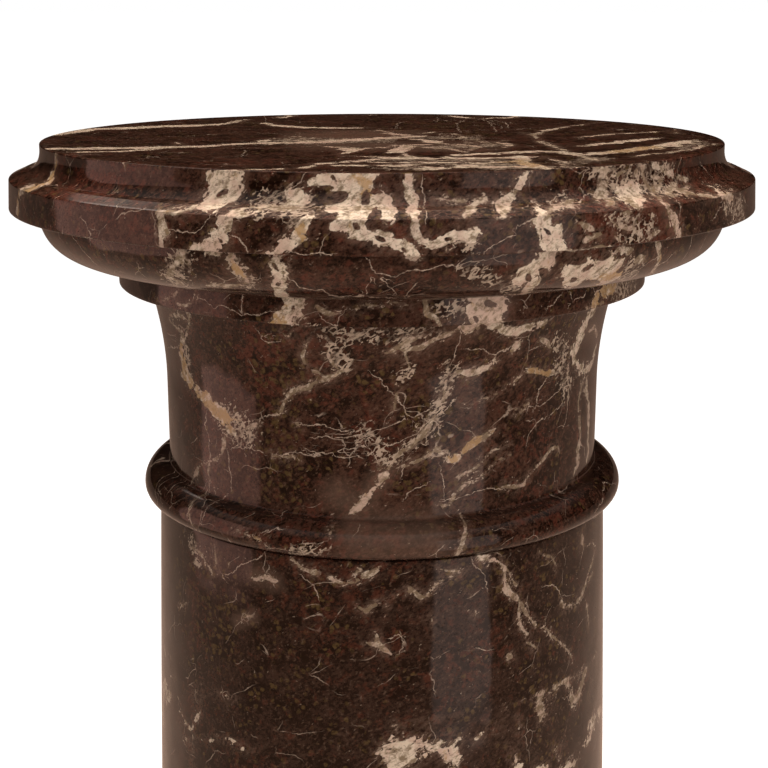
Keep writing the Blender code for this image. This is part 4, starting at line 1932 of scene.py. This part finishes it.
@dataclass(frozen=True)
class Softbox:
    """A large soft light that stands round the column."""

    name: str
    azimuth: float          # degrees to the right of the camera's side, seen from the axis
    distance: float
    height: float
    width: float
    tall: float
    power: float
    colour: Vector = (1.0, 1.0, 1.0)
    aim_height: float = 0.95
    in_gloss: bool = True   # whether the polish mirrors it
    on_surface: bool = True     # whether it lights matt surfaces
    even_to: float = 0.22       # where it starts to fade, counted from the middle to 0.5 at its edge

    def build(self) -> None:
        """Hangs the light and turns it to the column."""
        lamp = bpy.data.lights.new(self.name, "AREA")
        lamp.shape = "RECTANGLE"
        lamp.size = self.width
        lamp.size_y = self.tall
        lamp.energy = self.power
        lamp.color = self.colour
        item = bpy.data.objects.new(self.name, lamp)
        turn = math.radians(self.azimuth)
        item.location = (self.distance * math.sin(turn), -self.distance * math.cos(turn), self.height)
        rise = math.atan2(self.height - self.aim_height, self.distance)
        item.rotation_euler = (math.pi / 2 - rise, 0.0, turn)
        item.visible_glossy = self.in_gloss
        item.visible_diffuse = self.on_surface
        bpy.context.collection.objects.link(item)
        self._soften(lamp)

    def _soften(self, lamp: bpy.types.Light) -> None:
        """Lets the light fade out towards its edges.

        Args:
            lamp: The light.
        """
        lamp.use_nodes = True
        desk = Desk(lamp.node_tree)
        middle = 0.5    # the panel's own coordinates run from 0 to 1
        edge = 0.5
        panel = desk.tree.nodes.new("ShaderNodeNewGeometry")
        parts = desk.tree.nodes.new("ShaderNodeSeparateXYZ")
        desk.put(parts.inputs[0], panel.outputs["Parametric"])
        fades = [desk.grade(desk.size_of(desk.minus(part, middle)), edge, self.even_to)
                 for part in parts.outputs[:2]]
        desk.put(desk.tree.nodes["Emission"].inputs["Strength"], desk.times(*fades))


@dataclass(frozen=True)
class Studio:
    """The pale floor, the lights, the surroundings and the camera."""

    floor_half: float = 400.0
    floor_pale: Colour = (0.56, 0.54, 0.52, 1.0)
    floor_glow: Colour = (0.96, 0.96, 0.96, 1.0)    # for the camera alone, so that all of it is white
    gloss_in_front: Colour = (0.31, 0.185, 0.130, 1.0)     # the floor as the polish mirrors it
    gloss_behind: Colour = (0.60, 0.435, 0.355, 1.0)
    gloss_turn: tuple[float, float] = (-1.6, 1.2)   # metres from front to back between those two
    sky_seen: Colour = (1.0, 1.0, 1.0, 1.0)
    sky_tint: Vector = (1.0, 0.88, 0.80)
    sky_low: float = 0.002
    sky_high: float = 0.42
    sky_rise: tuple[float, float] = (0.40, 0.95)    # how far up the light starts and stops growing
    eye: Vector = (0.00108, -0.8175, 1.16826)
    tilt: float = 0.2489        # radians that the camera looks down
    lens: float = 69.34
    sensor: float = 36.0
    boxes: tuple[Softbox, ...] = (
        Softbox("key_front", azimuth=9.0, distance=1.8, height=1.50, width=2.4, tall=1.3, power=43.0,
                colour=(1.0, 0.95, 0.90), aim_height=1.05, in_gloss=False),
        Softbox("over_top", azimuth=180.0, distance=0.7, height=3.20, width=1.6, tall=1.6, power=168.0,
                colour=(1.0, 0.92, 0.83), aim_height=1.05, in_gloss=False),
        Softbox("fill_left", azimuth=-80.0, distance=1.9, height=1.30, width=1.5, tall=1.9, power=3.0,
                colour=(1.0, 0.92, 0.88), in_gloss=False),
        Softbox("fill_right", azimuth=62.0, distance=1.9, height=1.30, width=1.5, tall=1.9, power=7.0,
                colour=(1.0, 0.92, 0.88), in_gloss=False),
        Softbox("sheen_left", azimuth=-85.0, distance=1.9, height=1.13, width=1.5, tall=1.9, power=7.6,
                colour=(1.0, 0.52, 0.43), on_surface=False, even_to=0.46),
        Softbox("sheen_right", azimuth=38.0, distance=1.9, height=0.90, width=1.0, tall=1.9, power=4.4,
                colour=(1.0, 0.78, 0.70), on_surface=False, even_to=0.46),
        Softbox("sheen_behind", azimuth=-160.0, distance=1.8, height=2.35, width=1.1, tall=0.7,
                power=3.2, colour=(1.0, 0.84, 0.74), on_surface=False),
    )

    def _floor(self) -> None:
        """Lays the floor, which the polish mirrors in its own colours."""
        half = self.floor_half
        corners = [(-half, -half, 0), (half, -half, 0), (half, half, 0), (-half, half, 0)]
        mesh = bpy.data.meshes.new("studio_floor")
        mesh.from_pydata(corners, [], [(0, 1, 2, 3)])
        floor = bpy.data.objects.new("studio_floor", mesh)
        bpy.context.collection.objects.link(floor)
        material = bpy.data.materials.new("pale_floor")
        material.use_nodes = True
        desk = Desk(material.node_tree)
        path = desk.tree.nodes.new("ShaderNodeLightPath")
        shader = desk.tree.nodes["Principled BSDF"]
        coordinates = desk.tree.nodes.new("ShaderNodeTexCoord")
        parts = desk.tree.nodes.new("ShaderNodeSeparateXYZ")
        desk.put(parts.inputs[0], coordinates.outputs["Object"])
        behind = desk.grade(parts.outputs[1], *self.gloss_turn)
        mirrored = desk.blend(behind, self.gloss_in_front, self.gloss_behind)
        desk.put(shader.inputs["Base Color"], desk.blend(
            path.outputs["Is Glossy Ray"], self.floor_pale, mirrored))
        desk.put(shader.inputs["Emission Color"], desk.blend(
            path.outputs["Is Camera Ray"], BLACK, self.floor_glow))
        shader.inputs["Emission Strength"].default_value = 1.0
        shader.inputs["Roughness"].default_value = 1.0
        shader.inputs["Specular IOR Level"].default_value = 0.0
        mesh.materials.append(material)

    def _surroundings(self) -> None:
        """Makes the room white to the camera, and to all else a soft light that grows upwards."""
        world = bpy.data.worlds.new("soft_room")
        bpy.context.scene.world = world
        world.use_nodes = True
        desk = Desk(world.node_tree)
        backdrop = desk.tree.nodes["Background"]
        coordinates = desk.tree.nodes.new("ShaderNodeTexCoord")
        parts = desk.tree.nodes.new("ShaderNodeSeparateXYZ")
        desk.put(parts.inputs[0], coordinates.outputs["Generated"])
        level = desk.grade(parts.outputs[2], *self.sky_rise, self.sky_low, self.sky_high)
        grey = desk.tree.nodes.new("ShaderNodeCombineColor")
        for channel, tint in zip(grey.inputs, self.sky_tint):
            desk.put(channel, desk.times(level, tint))
        path = desk.tree.nodes.new("ShaderNodeLightPath")
        seen = desk.blend(path.outputs["Is Camera Ray"], grey.outputs[0], self.sky_seen)
        desk.put(backdrop.inputs["Color"], seen)
        backdrop.inputs["Strength"].default_value = 1.0

    def _camera(self) -> None:
        """Sets the camera at the photograph's place."""
        lens = bpy.data.cameras.new("camera")
        lens.lens = self.lens
        lens.sensor_width = self.sensor
        camera = bpy.data.objects.new("camera", lens)
        camera.location = self.eye
        camera.rotation_euler = (math.pi / 2 - self.tilt, 0.0, 0.0)
        bpy.context.collection.objects.link(camera)
        bpy.context.scene.camera = camera

    def build(self) -> None:
        """Sets up the studio."""
        self._camera()
        self._floor()
        self._surroundings()
        for box in self.boxes:
            box.build()
        bpy.context.scene.view_settings.view_transform = "Standard"
        LOG.info("studio: camera, floor and %d softboxes", len(self.boxes))


def main() -> None:
    """Builds the studio and the three blocks."""
    logging.basicConfig(level=logging.INFO, format="%(message)s")
    Studio().build()
    groups = {
        "ground": ground_group(), "vein": vein_group(), "web": web_group(),
        "tint": vein_colour_group(), "polish": polish_group()}
    top = float(CAD_BOX[1][2])
    Capital("capital", "capital_marble", Marble("capital_marble")).build(top, groups)
    # painted shade: the shaft's marble is the capital's with a darker brown and red ground, for the
    # light that falls off down the column
    shaft_marble = Marble(
        "shaft_marble", brown=(0.0420, 0.0205, 0.0135, 1.0), red=(0.0800, 0.0230, 0.0130, 1.0))
    Shaft("shaft", "shaft_marble", shaft_marble).build(top, groups)
    Base("base", "base_marble", Marble("base_marble")).build(top, groups)


if __name__ == "__main__":
    main()
